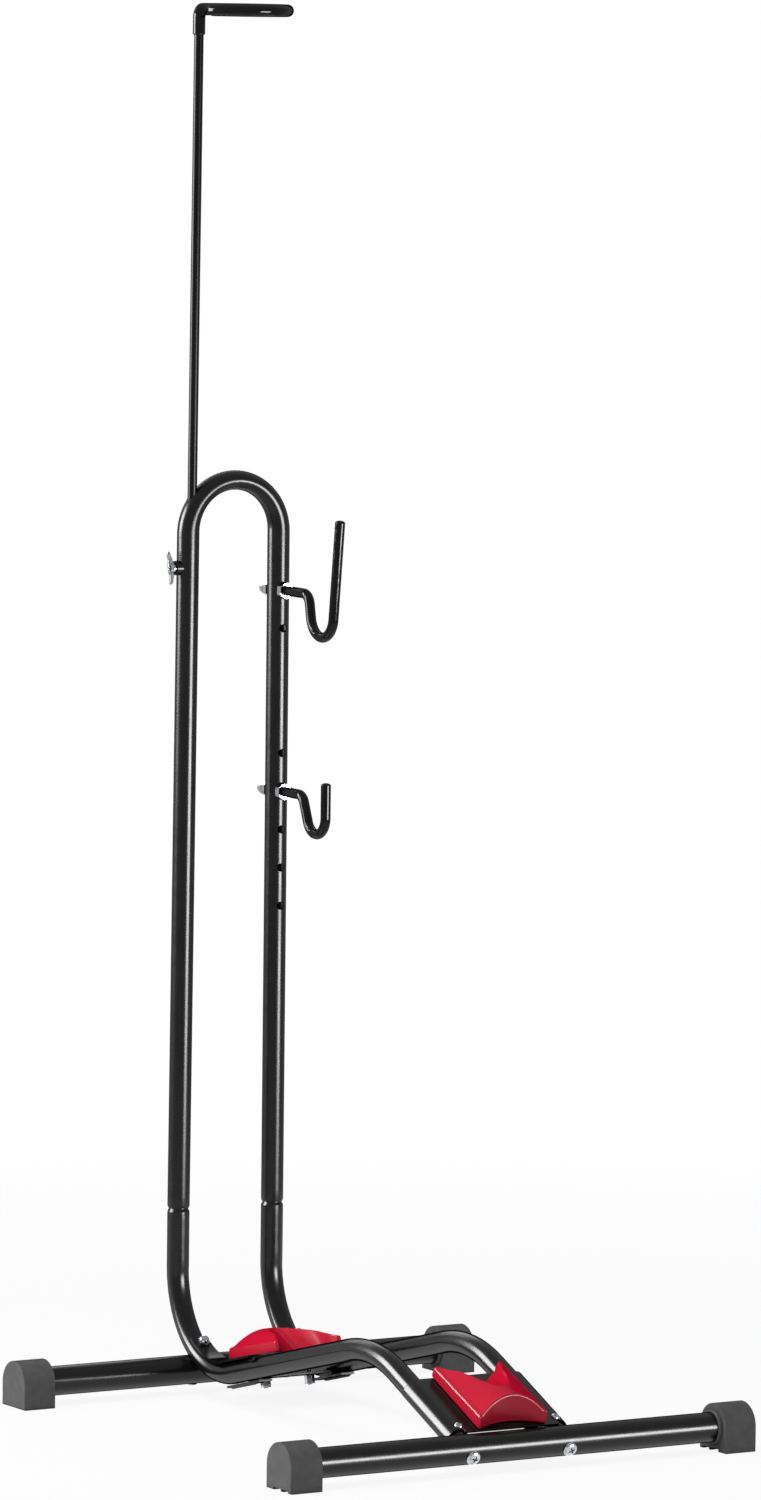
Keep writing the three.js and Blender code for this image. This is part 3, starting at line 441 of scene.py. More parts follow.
def fastened(name, fastener, matrices, material):
    mesh = bpy.data.meshes.new(name)
    mesh.from_pydata([matrix.translation for matrix in matrices], [], [])
    turnedTo = mesh.attributes.new("turnedTo", "FLOAT_VECTOR", "POINT")
    for i, matrix in enumerate(matrices):
        turnedTo.data[i].vector = matrix.to_euler("XYZ")
    made = grow(linked(name, mesh), fastenersInPlace, Fastener=fastener, Finish=material)
    bpy.data.objects.remove(fastener)
    return made


# A path through corners that are rounded by bends; each station is a point and its direction
def bentPath(points, bends, step=tubes["bendStep"]):
    tangent = (points[1] - points[0]).normalized()
    stations = [(points[0].copy(), tangent.copy())]
    for corner, onwardPoint, radius in zip(points[1:], points[2:], bends):
        onward = (onwardPoint - corner).normalized()
        angle = tangent.angle(onward)
        start = corner - tangent * radius * tan(angle / 2)
        axis = tangent.cross(onward).normalized()
        arm = axis.cross(tangent) * -radius
        steps = max(2, round(angle / radians(step)))
        for i in range(steps + 1):
            turn = Matrix.Rotation(angle * i / steps, 3, axis)
            stations.append((start - arm + turn @ arm, turn @ tangent))
        tangent = onward
    stations.append((points[-1].copy(), tangent.copy()))
    return stations


# Long straight runs get stations of their own, so that cuts and vertex moves stay local
def divided(stations, longest=tubes["straightStep"]):
    made = [stations[0]]
    for (point, tangent), (onwardPoint, onwardTangent) in zip(stations, stations[1:]):
        count = ceil((onwardPoint - point).length / longest)
        for i in range(1, count):
            share = i / count
            made.append((point.lerp(onwardPoint, share), tangent.lerp(onwardTangent, share).normalized()))
        made.append((onwardPoint, onwardTangent))
    return made


def lengthened(stations, by):
    first, last = stations[0], stations[-1]
    return [(first[0] - first[1] * by, first[1])] + stations[1:-1] + [(last[0] + last[1] * by, last[1])]


def moveVertices(made, move):
    for vert in made.data.vertices:
        vert.co = move(vert.co.copy())
    made.data.update()
    return made


# Frames along the two sloped parts of the rails, and of the bolts through the rear cross tube
stubPlace = tubes["crossHalfSpacing"] + tubes["legBehind"]
footCorner = Vector((0, stubPlace, tubes["footCornerHeight"]))
humpCorner = Vector((0, tubes["humpBehind"] - tubes["crossHalfSpacing"], tubes["humpHeight"]))
slopeFoot = Vector((0, -tubes["crossHalfSpacing"], tubes["slopeFootHeight"]))
runDirection = (humpCorner - footCorner).normalized()
slopeDirection = (humpCorner - slopeFoot).normalized()
footTurn = (-zAxis).angle(runDirection)
runStart = footCorner + runDirection * tubes["footBend"] * tan(footTurn / 2)


def frameOf(origin, x, y):
    z = x.cross(y)
    return Matrix.Translation(origin) @ Matrix((x, y, z)).transposed().to_4x4()


rearFrame = frameOf(runStart, -xAxis, runDirection)
frontFrame = frameOf(slopeFoot, xAxis, slopeDirection)
bendCentre = rearFrame @ Vector((0, 0, tubes["footBend"]))
rearTube = Vector((0, tubes["crossHalfSpacing"], tubes["crossHeight"]))
rearBoltDirection = (bendCentre - rearTube).normalized()
rearBoltFrame = frameOf(rearTube, xAxis, rearBoltDirection.cross(xAxis))


def railPath(x, top):
    shift = Vector((x, 0, 0))
    corners = [Vector((0, stubPlace, top)), footCorner, humpCorner, slopeFoot]
    return bentPath([corner + shift for corner in corners], [tubes["footBend"], tubes["humpBend"]])


# The inner side of the rear bend is flattened by the bending, most of all at its middle
def bendFlat(angle):
    part = min(max(angle / footTurn, 0), 1)
    return 1 - (1 - tubes["bendShare"]) * sqrt(sin(pi * part))


def flattenBend(point):
    y, z = point.y - bendCentre.y, point.z - bendCentre.z
    reach, angle = hypot(y, z), atan2(-z, y)
    if 0 < angle < footTurn and reach < tubes["footBend"]:
        share = (tubes["footBend"] - (tubes["footBend"] - reach) * bendFlat(angle)) / reach
        point.y, point.z = bendCentre.y + y * share, bendCentre.z + z * share
    return point


# A point moved away from the upright line at x through the joints
def movedOut(point, x, by):
    offset = Vector((point.x - x, point.y - stubPlace, 0))
    if offset.length > nothing:
        offset.length += by
    return Vector((x + offset.x, stubPlace + offset.y, point.z))


# Cross tubes
def crossTube(place, name):
    half, radius, sides = tubes["crossHalf"], tubes["crossRadius"], tubes["crossSides"]
    path = divided([(Vector((x, place, tubes["crossHeight"])), xAxis) for x in (-half, half)])
    bore = sweep(lengthened(path, borePast), radius - tubes["crossWall"], sides)
    return sweep(path, radius, sides, name=name), bore


def boltHole(length, foot=0.0):
    return pin(tubes["boltRadius"] + tubes["boltGap"], length, foot)


def boltHoles(matrix, along):
    for sign in signs:
        hole = placed(boltHole(cutLong, -cutLong / 2), along)
        yield placed(hole, matrix @ at(sign * tubes["railSpacing"], 0, 0))


frontTube, frontBore = crossTube(-tubes["crossHalfSpacing"], "frontCrossTube")
carve(frontTube, frontBore, *boltHoles(frontFrame, intoY))
settle(frontTube, coat, "frame", "front_cross_tube")

rearTubeOuter, rearBore = crossTube(tubes["crossHalfSpacing"], "rearCrossTube")
for sign in signs:
    path = railPath(sign * tubes["railSpacing"], tubes["jointHeight"])
    carve(rearTubeOuter, sweep(path, tubes["railRadius"] + tubes["slideGap"]))
    carve(rearBore, sweep(path, tubes["railRadius"] + tubes["slideGap"] + tubes["crossWall"]))
carve(rearTubeOuter, rearBore, *boltHoles(rearBoltFrame, Matrix.Identity(4)))
settle(rearTubeOuter, coat, "frame", "rear_cross_tube")
print("cross tubes made")


# Rails, from the spigot in the arch to the fishmouth on the front tube
def railShape(sign, radius, spigot, by=0.0):
    x = sign * tubes["railSpacing"]
    joint, shoulder, rows = tubes["jointHeight"], tubes["shoulderLength"], tubes["shoulderRows"]
    path = railPath(x, joint + tubes["spigotLength"])
    down = path[0][1]
    heights = [joint - shoulder * part / rows for part in range(rows + 1)]
    path[1:1] = [(Vector((x, stubPlace, height)), down) for height in heights]
    made = sweep(lengthened(divided(path), by), radius, name=("left" if sign < 0 else "right") + "Rail")

    def shape(point):
        part = min(max((point.z - joint + shoulder) / shoulder, 0), 1)
        if point.y > stubPlace - 2 * radius and part > 0:
            ease = part * part * (3 - 2 * part)
            return movedOut(point, x, (spigot - radius) * ease)
        return flattenBend(point)

    return moveVertices(made, shape)


for sideName, sign in sideSigns:
    x, wall = sign * tubes["railSpacing"], tubes["railWall"]
    rail = railShape(sign, tubes["railRadius"], tubes["spigotRadius"])
    bore = railShape(sign, tubes["railRadius"] - wall, tubes["spigotRadius"] - wall, borePast)
    frontPin = pin(tubes["crossRadius"] + tubes["slideGap"], cutLong, -cutLong / 2, tubes["crossSides"])
    placed(frontPin, at(x, -tubes["crossHalfSpacing"], tubes["crossHeight"]) @ intoX)
    screwPlace = frontFrame @ at(x, tubes["screwSpot"], 0)
    boltPlace = rearBoltFrame @ at(x, 0, 0)
    carve(rail, bore, frontPin, placed(pin(tubes["screwHole"], cutLong), screwPlace))
    carve(rail, placed(boltHole(cutLong), boltPlace))
    settle(rail, coat, "frame", sideName + "_rail")
print("rails made")

# Arch: two legs that lean in a little, joined by a half circle with a flattened crown
arch = {
    "radius": 12.7, "bore": 11.2, "springHeight": 977.0, "springHalf": 59.2, "crownShift": 1.2,
    "crownShare": 0.866, "footChamfer": 0.9, "footChamferLength": 2.5, "crownStep": 2.5,
    "hookHoleRadius": 4.75, "hookHoles": (909.6, 866.3, 723.6, 679.8, 636.0, 592.2, 548.3),
    "screwHeight": 938.0, "screwRadius": 4.0, "rodRadius": 5.4, "rodOffset": 4.5, "rodExit": (985.0, 1075.0),
}


def legSlope(sign):
    rise = arch["springHeight"] - tubes["jointHeight"]
    return (arch["crownShift"] + sign * (arch["springHalf"] - tubes["railSpacing"])) / rise


def legPlaceAt(sign, height):
    return sign * tubes["railSpacing"] + (height - tubes["jointHeight"]) * legSlope(sign)


def archPath():
    low = (tubes["jointHeight"], tubes["jointHeight"] + arch["footChamferLength"])
    up, down = Vector((legSlope(-1), 0, 1)).normalized(), Vector((-legSlope(1), 0, -1)).normalized()
    path = [(Vector((legPlaceAt(-1, height), stubPlace, height)), up) for height in low]
    steps = round(180 / arch["crownStep"])
    for i in range(steps + 1):
        angle = pi * (1 - i / steps)
        across, rise = arch["springHalf"] * cos(angle), arch["springHalf"] * sin(angle)
        point = Vector((arch["crownShift"] + across, stubPlace, arch["springHeight"] + rise))
        path.append((point, Vector((sin(angle), 0, -cos(angle)))))
    return path + [(Vector((legPlaceAt(1, height), stubPlace, height)), down) for height in reversed(low)]


def flattenCrown(point):
    across, rise = point.x - arch["crownShift"], point.z - arch["springHeight"]
    if rise > 0:
        reach = hypot(across, rise)
        share = 1 - (1 - arch["crownShare"]) * rise / reach
        reachNow = arch["springHalf"] + (reach - arch["springHalf"]) * share
        point.x = arch["crownShift"] + across * reachNow / reach
        point.z = arch["springHeight"] + rise * reachNow / reach
    return point


def chamferFoot(point):
    if point.z < tubes["jointHeight"] + arch["footChamferLength"] / 2:
        x = legPlaceAt(1 if point.x > 0 else -1, tubes["jointHeight"])
        return movedOut(point, x, -arch["footChamfer"])
    return flattenCrown(point)


screwSpot = legPlaceAt(-1, arch["screwHeight"])
screwFrame = at(screwSpot, stubPlace, arch["screwHeight"])
rodFrame = at(screwSpot + arch["rodOffset"], stubPlace, arch["screwHeight"])
rodFrame = rodFrame @ Matrix.Rotation(atan(legSlope(-1)), 4, "Y")
archTube = moveVertices(sweep(divided(archPath()), arch["radius"], name="archTube"), chamferFoot)
archBore = moveVertices(sweep(lengthened(divided(archPath()), borePast), arch["bore"]), flattenCrown)
archHoles = []
for height in arch["hookHoles"]:
    hole = placed(pin(arch["hookHoleRadius"], cutLong, -cutLong / 2), intoY)
    archHoles.append(placed(hole, at(legPlaceAt(1, height), stubPlace, height)))
screwHole = placed(pin(arch["screwRadius"] + tubes["boltGap"], cutShort, -cutShort), screwFrame @ intoX)
exitLow, exitHigh = (height - arch["screwHeight"] for height in arch["rodExit"])
rodHole = placed(pin(arch["rodRadius"] + tubes["slideGap"], exitHigh - exitLow, exitLow), rodFrame)
carve(archTube, archBore, *archHoles, screwHole, rodHole)
settle(archTube, coat, "frame", "arch_tube")
print("arch made")

# Extension rod and the hoop at its top, with its dipped coat
hoop = {
    "rodFoot": 870.0, "height": 1568.6, "bend": 9.75, "bendStep": 6.0, "radius": 49.7, "leave": 70.0,
    "sweep": 291.6, "heading": -30.93, "coatRadius": 7.04, "sleeveFoot": 1540.0, "tipShare": 1.0, "step": 4.0,
    "straightStep": 40.0,
}


def hoopPath(foot):
    leave = radians(hoop["leave"])
    away, inward = Vector((cos(leave), sin(leave), 0)), Vector((sin(leave), -cos(leave), 0))
    top = hoop["height"] - arch["screwHeight"]
    start = Vector((0, 0, top)) + away * hoop["bend"]
    centre = start + inward * hoop["radius"]
    corners = [Vector((0, 0, foot)), Vector((0, 0, top)), start]
    path = bentPath(corners, [hoop["bend"]], hoop["bendStep"])[:-1]
    steps = round(hoop["sweep"] / hoop["step"])
    for i in range(1, steps + 1):
        turn = Matrix.Rotation(-radians(hoop["sweep"]) * i / steps, 3, "Z")
        path.append((centre + turn @ (start - centre), turn @ away))
    heading = Matrix.Rotation(radians(hoop["heading"]), 3, "Z")
    return [(heading @ point, heading @ tangent) for point, tangent in path]


# A dip coat over a bar: rounded at its tip, thinned at its edge, hollow for the bar
dip = {
    "edge": ((0.0, 0.88), (0.5, 0.96), (1.4, 1.0)), "tipSteps": 7, "tipLeast": 0.02, "gap": 0.05,
    "borePast": 5.0, "sides": 40, "sharp": 60,
}


def dippedCoat(path, radius, bar, tipShare, name, matrix):
    first, last = path[0], path[-1]
    swells = [swell for along, swell in dip["edge"]] + [1.0] * (len(path) - 1)
    path = [(first[0] + first[1] * along, first[1]) for along, swell in dip["edge"]] + path[1:]
    for i in range(1, dip["tipSteps"] + 1):
        angle = pi / 2 * i / dip["tipSteps"]
        path.append((last[0] + last[1] * radius * tipShare * sin(angle), last[1]))
        swells.append(max(cos(angle), dip["tipLeast"]))
    made = sweep(path, radius, dip["sides"], vinyl, swells, name)
    inner = path[:-dip["tipSteps"]]
    inner[0] = (first[0] - first[1] * dip["borePast"], first[1])
    carve(made, sweep(inner, bar + dip["gap"], dip["sides"]))
    return placed(made, matrix)


rodPath = divided(hoopPath(hoop["rodFoot"] - arch["screwHeight"]), hoop["straightStep"])
rod = sweep(rodPath, arch["rodRadius"], dip["sides"], rodBlack, name="extensionRod")
settle(placed(rod, rodFrame), rodBlack, "extension", "extension_rod")
coatPath = hoopPath(hoop["sleeveFoot"] - arch["screwHeight"])
hoopCoat = dippedCoat(coatPath, hoop["coatRadius"], arch["rodRadius"], hoop["tipShare"], "hoopCoat", rodFrame)
settle(hoopCoat, vinyl, "extension", "hoop_coat", sharp=dip["sharp"])
print("extension rod and hoop made")

# Hooks: bent bars through the right leg, dipped like the hoop
hooks = {
    "barRadius": 4.3, "coatRadius": 5.75, "tail": 21.0, "coatStart": 21.0, "tipShare": 0.5, "step": 5.0,
    "upper": {
        "height": 909.6, "points": ((69.6, 0.0), (106.9, -186.7), (137.1, 85.1)), "bends": (14.0, 25.3),
    },
    "lower": {
        "height": 679.8, "points": ((60.2, 0.0), (111.8, -123.9), (111.8, 15.5)), "bends": (14.0, 20.5),
    },
}


def hookPath(hook, start):
    points = [Vector((0, start, 0))] + [Vector((0, -out, up)) for out, up in hook["points"]]
    return bentPath(points, hook["bends"], hooks["step"])


hookFrames = {}
for name in ("upper", "lower"):
    hook = hooks[name]
    hookFrames[name] = at(legPlaceAt(1, hook["height"]), stubPlace, hook["height"])
    barPath = hookPath(hook, arch["radius"] + hooks["tail"])
    bar = sweep(barPath, hooks["barRadius"], dip["sides"], zinc, name=name + "HookBar")
    settle(placed(bar, hookFrames[name]), zinc, "frame", name + "_hook_bar")
    hookCoat = dippedCoat(hookPath(hook, -hooks["coatStart"]), hooks["coatRadius"], hooks["barRadius"],
                          hooks["tipShare"], name + "HookCoat", hookFrames[name])
    settle(hookCoat, vinyl, "frame", name + "_hook_coat", sharp=dip["sharp"])
print("hooks made")

# What the trays, clamp plates and blocks share, in the frames of the rails' sloped parts
decks = {
    "sheet": 2.5, "trayGap": 0.3, "webHeight": -7.5, "frontBlock": 15.8, "rearBlock": -40.0,
}
railTop = tubes["railRadius"] + decks["trayGap"]
deckHeight = railTop + decks["sheet"] + tubes["seatGap"]
acrossFlats = 1 / cos(pi / 6)

# Nuts: hexagons trimmed by a cone at both faces, as a turned blank has them
nuts = {
    "flatShare": 0.96, "fallShare": 0.5, "capFlat": 0.48, "capReach": 0.58, "capFall": 0.05,
    "domeShare": 0.866, "domeSteps": 14, "domeSides": 56, "trimSides": 72,
    "hook": {"width": 17.5, "height": 8.0},
    "hookCap": {"width": 17.0, "hexHeight": 8.0, "reach": 26.0, "dome": 7.4, "depth": 22.0},
    "rearCap": {"width": 13.0, "hexHeight": 6.5, "reach": 11.5, "dome": 6.0, "depth": 9.5},
}


def trimmedHex(width, height, trim):
    prism = pushed(roundOutline(width / 2 * acrossFlats, 6, pi / 6), height, 0.0, "nut")
    return carve(prism, turned(trim, nuts["trimSides"]), how="INTERSECT")


def boltBore(bolt, depth):
    return pin(bolt + tubes["seatGap"], depth + cutPast, -cutPast)


def hexNut(width, height, bolt):
    reach, flat = width / 2 * acrossFlats, width / 2 * nuts["flatShare"]
    fall = (reach - flat) * nuts["fallShare"]
    trim = [(0, 0), (flat, 0), (reach, fall), (reach, height - fall), (flat, height), (0, height)]
    return carve(trimmedHex(width, height, trim), boltBore(bolt, height + cutPast))


def capNut(width, hexHeight, reach, dome, depth, bolt):
    flat, wide, fall = width * nuts["capFlat"], width * nuts["capReach"], width * nuts["capFall"]
    trim = [(0, 0), (flat, 0), (wide, fall), (wide, hexHeight - fall), (flat, hexHeight), (0, hexHeight)]
    made = trimmedHex(width, hexHeight, trim)
    rise = (reach - hexHeight) * nuts["domeShare"]
    roof = quarter(dome, reach - rise, rise, nuts["domeSteps"])
    profile = [(0, hexHeight / 2), (dome, hexHeight / 2)] + roof
    carve(made, turned(profile, nuts["domeSides"]), how="UNION")
    return carve(made, boltBore(bolt, depth))


# Bolts and screws: a domed head over a shank, with a cross recess
bolts = {
    "head": 8.5, "headHeight": 4.6, "frontReach": 40.0, "frontSpin": (18, -24), "rearSpin": (30, 5),
    "screw": {"head": 4.8, "height": 2.9, "shank": 2.4, "length": 9.5}, "screwSpin": (10, 50),
    "ease": 0.5, "rim": 0.4, "headSteps": 12, "sides": 64,
    "crossHalf": 0.52, "crossWide": 0.11, "crossFloor": 0.45, "crossTaper": 0.62,
}


def domeBolt(head, height, shank, length):
    ease = bolts["ease"]
    profile = [(0, length), (shank - ease, length), (shank, length - ease), (shank, 0), (head - ease, 0)]
    profile += [(head, bolts["rim"])] + quarter(head, 0, -height, bolts["headSteps"])[1:]
    made = turned(profile, bolts["sides"])
    half, wide = head * bolts["crossHalf"], head * bolts["crossWide"]
    for long, across in ((half, wide), (wide, half)):
        arm = boxed((-long, -across, -height - cutPast), (long, across, -height * bolts["crossFloor"]))
        for vert in arm.data.vertices:
            if vert.co.z > -height:
                vert.co.x *= bolts["crossTaper"]
                vert.co.y *= bolts["crossTaper"]
        carve(made, arm)
    return made


def tubeBolt(length):
    return domeBolt(bolts["head"], bolts["headHeight"], tubes["boltRadius"], length)


# Studs: a pin with a thread that starts near the tip and runs out below the tray
studs = {
    "radius": 3.0, "tip": -21.3, "depth": 9.0, "place": 28.8, "along": 49.0, "pitch": 1.0,
    "threadDepth": 0.45, "threadStart": 0.6, "threadTop": -2.0, "flank": 2.4, "around": 32, "perTurn": 8,
    "tipRise": 0.5, "tipInset": 0.3, "nutWidth": 10.2, "nutFoot": -20.5,
}


def threadedStud(top):
    radius, tip, pitch, depth = (studs[key] for key in ("radius", "tip", "pitch", "threadDepth"))
    around, perTurn, threadTop = studs["around"], studs["perTurn"], studs["threadTop"]
    threadFoot = tip + studs["threadStart"]
    count = round((threadTop - threadFoot) / pitch * perTurn)
    heights = [tip + studs["tipRise"]] + [threadFoot + pitch * i / perTurn for i in range(1, count)]
    loops = [[(x, y, tip) for x, y in roundOutline(radius - depth - studs["tipInset"], around)]]
    for height in heights + [threadTop, top]:
        fade = min(max((threadTop - height) / pitch, 0), 1)
        loop = []
        for i in range(around):
            phase = ((height - threadFoot) / pitch - i / around) % 1
            reach = radius - depth * fade * min(1, studs["flank"] * abs(phase - 0.5))
            loop.append((*onCircle(reach, 2 * pi * i / around), height))
        loops.append(loop)
    return lofted(loops, "stud")


# Each kind of fastener is made once and set in its places
def setFasteners(name, fastener, places, *nodes):
    settle(fastened(name, fastener, list(places), zinc), zinc, "frame", *nodes)


def railPlaces(matrix, along, out, turn, spin=(0, 0)):
    for sign, angle in zip(signs, spin):
        place = matrix @ at(sign * tubes["railSpacing"], along, out)
        yield place @ turn @ Matrix.Rotation(radians(angle), 4, "Z")


def legPlaces(out, turn):
    return [place @ at(0, out, 0) @ turn for place in hookFrames.values()]


noTurn, halfTurn = Matrix.Identity(4), Matrix.Rotation(pi, 4, "X")
forward, backward = Matrix.Rotation(pi / 2, 4, "X"), Matrix.Rotation(-pi / 2, 4, "X")
seat = tubes["crossRadius"] + tubes["seatGap"]
setFasteners("frontBolts", tubeBolt(bolts["frontReach"] + tubes["crossRadius"]),
             railPlaces(frontFrame, -seat, 0, backward, bolts["frontSpin"]),
             "front_left_bolt", "front_right_bolt")
setFasteners("trayScrews", domeBolt(**bolts["screw"]),
             railPlaces(frontFrame, tubes["screwSpot"], deckHeight, halfTurn, bolts["screwSpin"]),
             "front_tray_left_screw", "front_tray_right_screw")
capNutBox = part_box("rear_left_cap_nut")
capNutCentre = toRow.inverted() @ ((capNutBox[0] + capNutBox[1]) / 2)
nutSeat = (rearBoltFrame.inverted() @ capNutCentre).z - nuts["rearCap"]["reach"] / 2
setFasteners("rearBolts", tubeBolt(nutSeat + nuts["rearCap"]["hexHeight"] + tubes["crossRadius"]),
             railPlaces(rearBoltFrame, 0, -seat, noTurn, bolts["rearSpin"]),
             "rear_left_bolt", "rear_right_bolt")
setFasteners("rearCapNuts", capNut(**nuts["rearCap"], bolt=tubes["boltRadius"]),
             railPlaces(rearBoltFrame, 0, nutSeat, noTurn), "rear_left_cap_nut", "rear_right_cap_nut")
legSide = arch["radius"] + tubes["seatGap"]
setFasteners("hookNuts", hexNut(**nuts["hook"], bolt=hooks["barRadius"]),
             legPlaces(-legSide, forward), "upper_hook_nut", "lower_hook_nut")
setFasteners("hookCapNuts", capNut(**nuts["hookCap"], bolt=hooks["barRadius"]),
             legPlaces(legSide, backward), "upper_hook_cap_nut", "lower_hook_cap_nut")

studPlaces = []
for matrix, block in ((frontFrame, decks["frontBlock"]), (rearFrame, decks["rearBlock"])):
    for sign in signs:
        studPlaces.append(matrix @ at(sign * studs["place"], block + studs["along"], 0))
studNames = ("front_left_stud", "front_right_stud", "rear_left_stud", "rear_right_stud")
studTop = deckHeight + studs["depth"] - tubes["seatGap"]
setFasteners("studs", threadedStud(studTop), studPlaces, *studNames)
nutTop = decks["webHeight"] - decks["sheet"] - tubes["seatGap"]
studNut = hexNut(studs["nutWidth"], nutTop - studs["nutFoot"], studs["radius"])
setFasteners("studNuts", studNut, [place @ at(0, 0, nutTop) @ halfTurn for place in studPlaces],
             *(name + "_nut" for name in studNames))
print("fasteners set")

# End caps: a dome over the tube and a square foot, with grooves under the front pair
caps = {
    "reach": 296.5, "halfWidth": 26.25, "length": 39.7, "endWall": 4.7, "rim": 1.6, "collarRadius": 19.5,
    "collarMouth": 17.2, "collarReach": 4.1, "collarFlat": 0.4, "collarInside": 3.0, "grooveDepth": 3.0,
    "grooveSolid": 15.2, "grooves": (16.0, 12.5), "grooveRib": 2.9, "groovePast": 5.0, "borePast": 30.0,
    "domeSteps": 48, "rimSteps": 6, "lipSteps": 8, "mouthEase": 0.5, "easeShare": 0.3, "sharp": 30,
}


def capOutline(inset):
    half = caps["halfWidth"] - inset
    points = [(half, inset)]
    for i in range(caps["domeSteps"] + 1):
        angle = pi * i / caps["domeSteps"]
        points.append((half * cos(angle), tubes["crossHeight"] + half * sin(angle)))
    return points + [(-half, inset)]


# The collar about the tube, with a rounded lip at its mouth
def collar():
    wide, mouth, flat = caps["collarRadius"], caps["collarMouth"], caps["collarFlat"]
    profile = [(0, caps["collarInside"]), (wide, caps["collarInside"]), (wide, -flat)]
    for i in range(1, caps["lipSteps"] + 1):
        angle = pi / 2 * i / caps["lipSteps"]
        reach = flat + (caps["collarReach"] - flat) * sin(angle)
        profile.append((mouth + (wide - mouth) * cos(angle), -reach))
    return turned(profile + [(0, -caps["collarReach"])], tubes["crossSides"])


def endCap(grooved, name):
    rim, length, ease = caps["rim"], caps["length"], caps["mouthEase"]
    rings = [(ease, 0.0), (ease * caps["easeShare"], ease * caps["easeShare"]), (0.0, ease)]
    angles = [pi / 2 * i / caps["rimSteps"] for i in range(caps["rimSteps"] + 1)]
    rings += [(rim * (1 - cos(angle)), length - rim + rim * sin(angle)) for angle in angles]
    made = lofted([[(x, y, z) for y, z in capOutline(inset)] for inset, x in rings], name)
    raised = at(0, 0, tubes["crossHeight"])
    carve(made, placed(collar(), raised @ Matrix.Rotation(pi / 2, 4, "Y")), how="UNION")
    depth, past = length - caps["endWall"], caps["borePast"]
    bore = pin(tubes["crossRadius"] + tubes["slideGap"] / 2, depth + past, -past, tubes["crossSides"])
    carve(made, placed(bore, raised @ intoX))
    if grooved:
        edge = caps["grooveSolid"] - caps["halfWidth"]
        for width in caps["grooves"]:
            low = (-cutLong, edge, -caps["groovePast"])
            carve(made, boxed(low, (cutLong, edge + width, caps["grooveDepth"])))
            edge += width + caps["grooveRib"]
    return made


for end, sign in (("front", -1), ("rear", 1)):
    for sideName, side in sideSigns:
        cap = endCap(end == "front", end + sideName.capitalize() + "Cap")
        place = at(side * (caps["reach"] - caps["length"]), sign * tubes["crossHalfSpacing"], 0)
        placed(cap, place @ Matrix.Rotation(0 if side > 0 else pi, 4, "Z"))
        settle(cap, rubber, "frame", f"{end}_{sideName}_cap", sharp=caps["sharp"])
print("end caps made")

# Trays: sheet that lies across both rails and is rolled down round their outer sides
trays = {
    "lipStart": 11.4, "lipHalf": 60.0, "lipPast": 1.0, "frontStart": 18.0, "frontEnd": 119.0,
    "frontRoll": 105.0, "rearStart": -44.0, "rearSideStart": -22.0, "rearMiddleHalf": 49.0, "rearEnd": 67.7,
    "rearRollStart": 55.0, "rearRoll": 55.0, "rearHalf": 75.0, "earHalf": 11.0, "earBeyond": 7.0,
    "overlap": 0.01, "rollSteps": 28, "arcSteps": 24, "ease": 0.45,
}


def traySection(roll):
    outer, inner = [], []
    for i in range(trays["rollSteps"] + 1):
        angle = radians(90 - roll * i / trays["rollSteps"])
        for points, reach in ((outer, railTop + decks["sheet"]), (inner, railTop)):
            points.append((tubes["railSpacing"] + reach * cos(angle), reach * sin(angle)))
    right = outer + inner[::-1]
    return [(z, x) for x, z in right + [(-x, z) for x, z in right][::-1]]


def rolledSheet(roll, start, end, name):
    return placed(pushed(traySection(roll), end - start, start, name), intoY)


def flatSheet(half, start, end):
    return boxed((-half, start, railTop), (half, end, railTop + decks["sheet"]))


def trayHoles(radius, across, along):
    for sign in signs:
        yield placed(pin(radius, cutShort), at(sign * across, along, 0))


def studHoles(block):
    return trayHoles(studs["radius"] + tubes["boltGap"], studs["place"], block + studs["along"])


frontTray = rolledSheet(trays["frontRoll"], trays["frontStart"], trays["frontEnd"], "frontTray")
lip = flatSheet(trays["lipHalf"], trays["lipStart"], trays["frontStart"] + trays["lipPast"])
easeEdges(carve(frontTray, lip, how="UNION"), trays["ease"], 2)
carve(frontTray, *trayHoles(tubes["screwHole"], tubes["railSpacing"], tubes["screwSpot"]))
carve(frontTray, *studHoles(decks["frontBlock"]))
settle(placed(frontTray, frontFrame), coat, "frame", "front_tray")


# Points over the rails' rear bend, by the angle from the start of the sloped run
def overBend(angle, rise):
    reach = tubes["footBend"] - tubes["railRadius"] * bendFlat(footTurn - angle) - rise
    return -reach * sin(angle), tubes["footBend"] - reach * cos(angle)


def arcSheet(end, low, high):
    angles = [end * i / trays["arcSteps"] for i in range(trays["arcSteps"] + 1)]
    over = [(trays["rearRollStart"], railTop + decks["sheet"])]
    over += [overBend(angle, decks["trayGap"] + decks["sheet"]) for angle in angles]
    under = [(trays["rearRollStart"], railTop)] + [overBend(angle, decks["trayGap"]) for angle in angles]
    return placed(pushed(over + under[::-1], high - low, low, "arcSheet"), intoX)


boltAngle = rearBoltDirection.angle(zAxis) + runDirection.angle(-yAxis)
earEnd = boltAngle + radians(trays["earBeyond"])
sideEnd = asin(-trays["rearSideStart"] / (tubes["footBend"] - railTop))
rearTray = rolledSheet(trays["rearRoll"], trays["rearRollStart"], trays["rearEnd"], "rearTray")
middle = flatSheet(trays["rearMiddleHalf"], trays["rearStart"], trays["rearRollStart"] + trays["overlap"])
carve(rearTray, middle, how="UNION")
for sign in signs:
    inner, outer = sorted((sign * (trays["rearMiddleHalf"] - trays["overlap"]), sign * trays["rearHalf"]))
    ear = sign * tubes["railSpacing"]
    carve(rearTray, arcSheet(sideEnd, inner, outer), how="UNION")
    carve(rearTray, arcSheet(earEnd, ear - trays["earHalf"], ear + trays["earHalf"]), how="UNION")
for sign in signs:
    hole = boltHole(cutShort, tubes["railRadius"])
    placed(hole, at(sign * tubes["railSpacing"], 0, 0))
    carve(rearTray, placed(hole, rearFrame.inverted() @ rearBoltFrame))
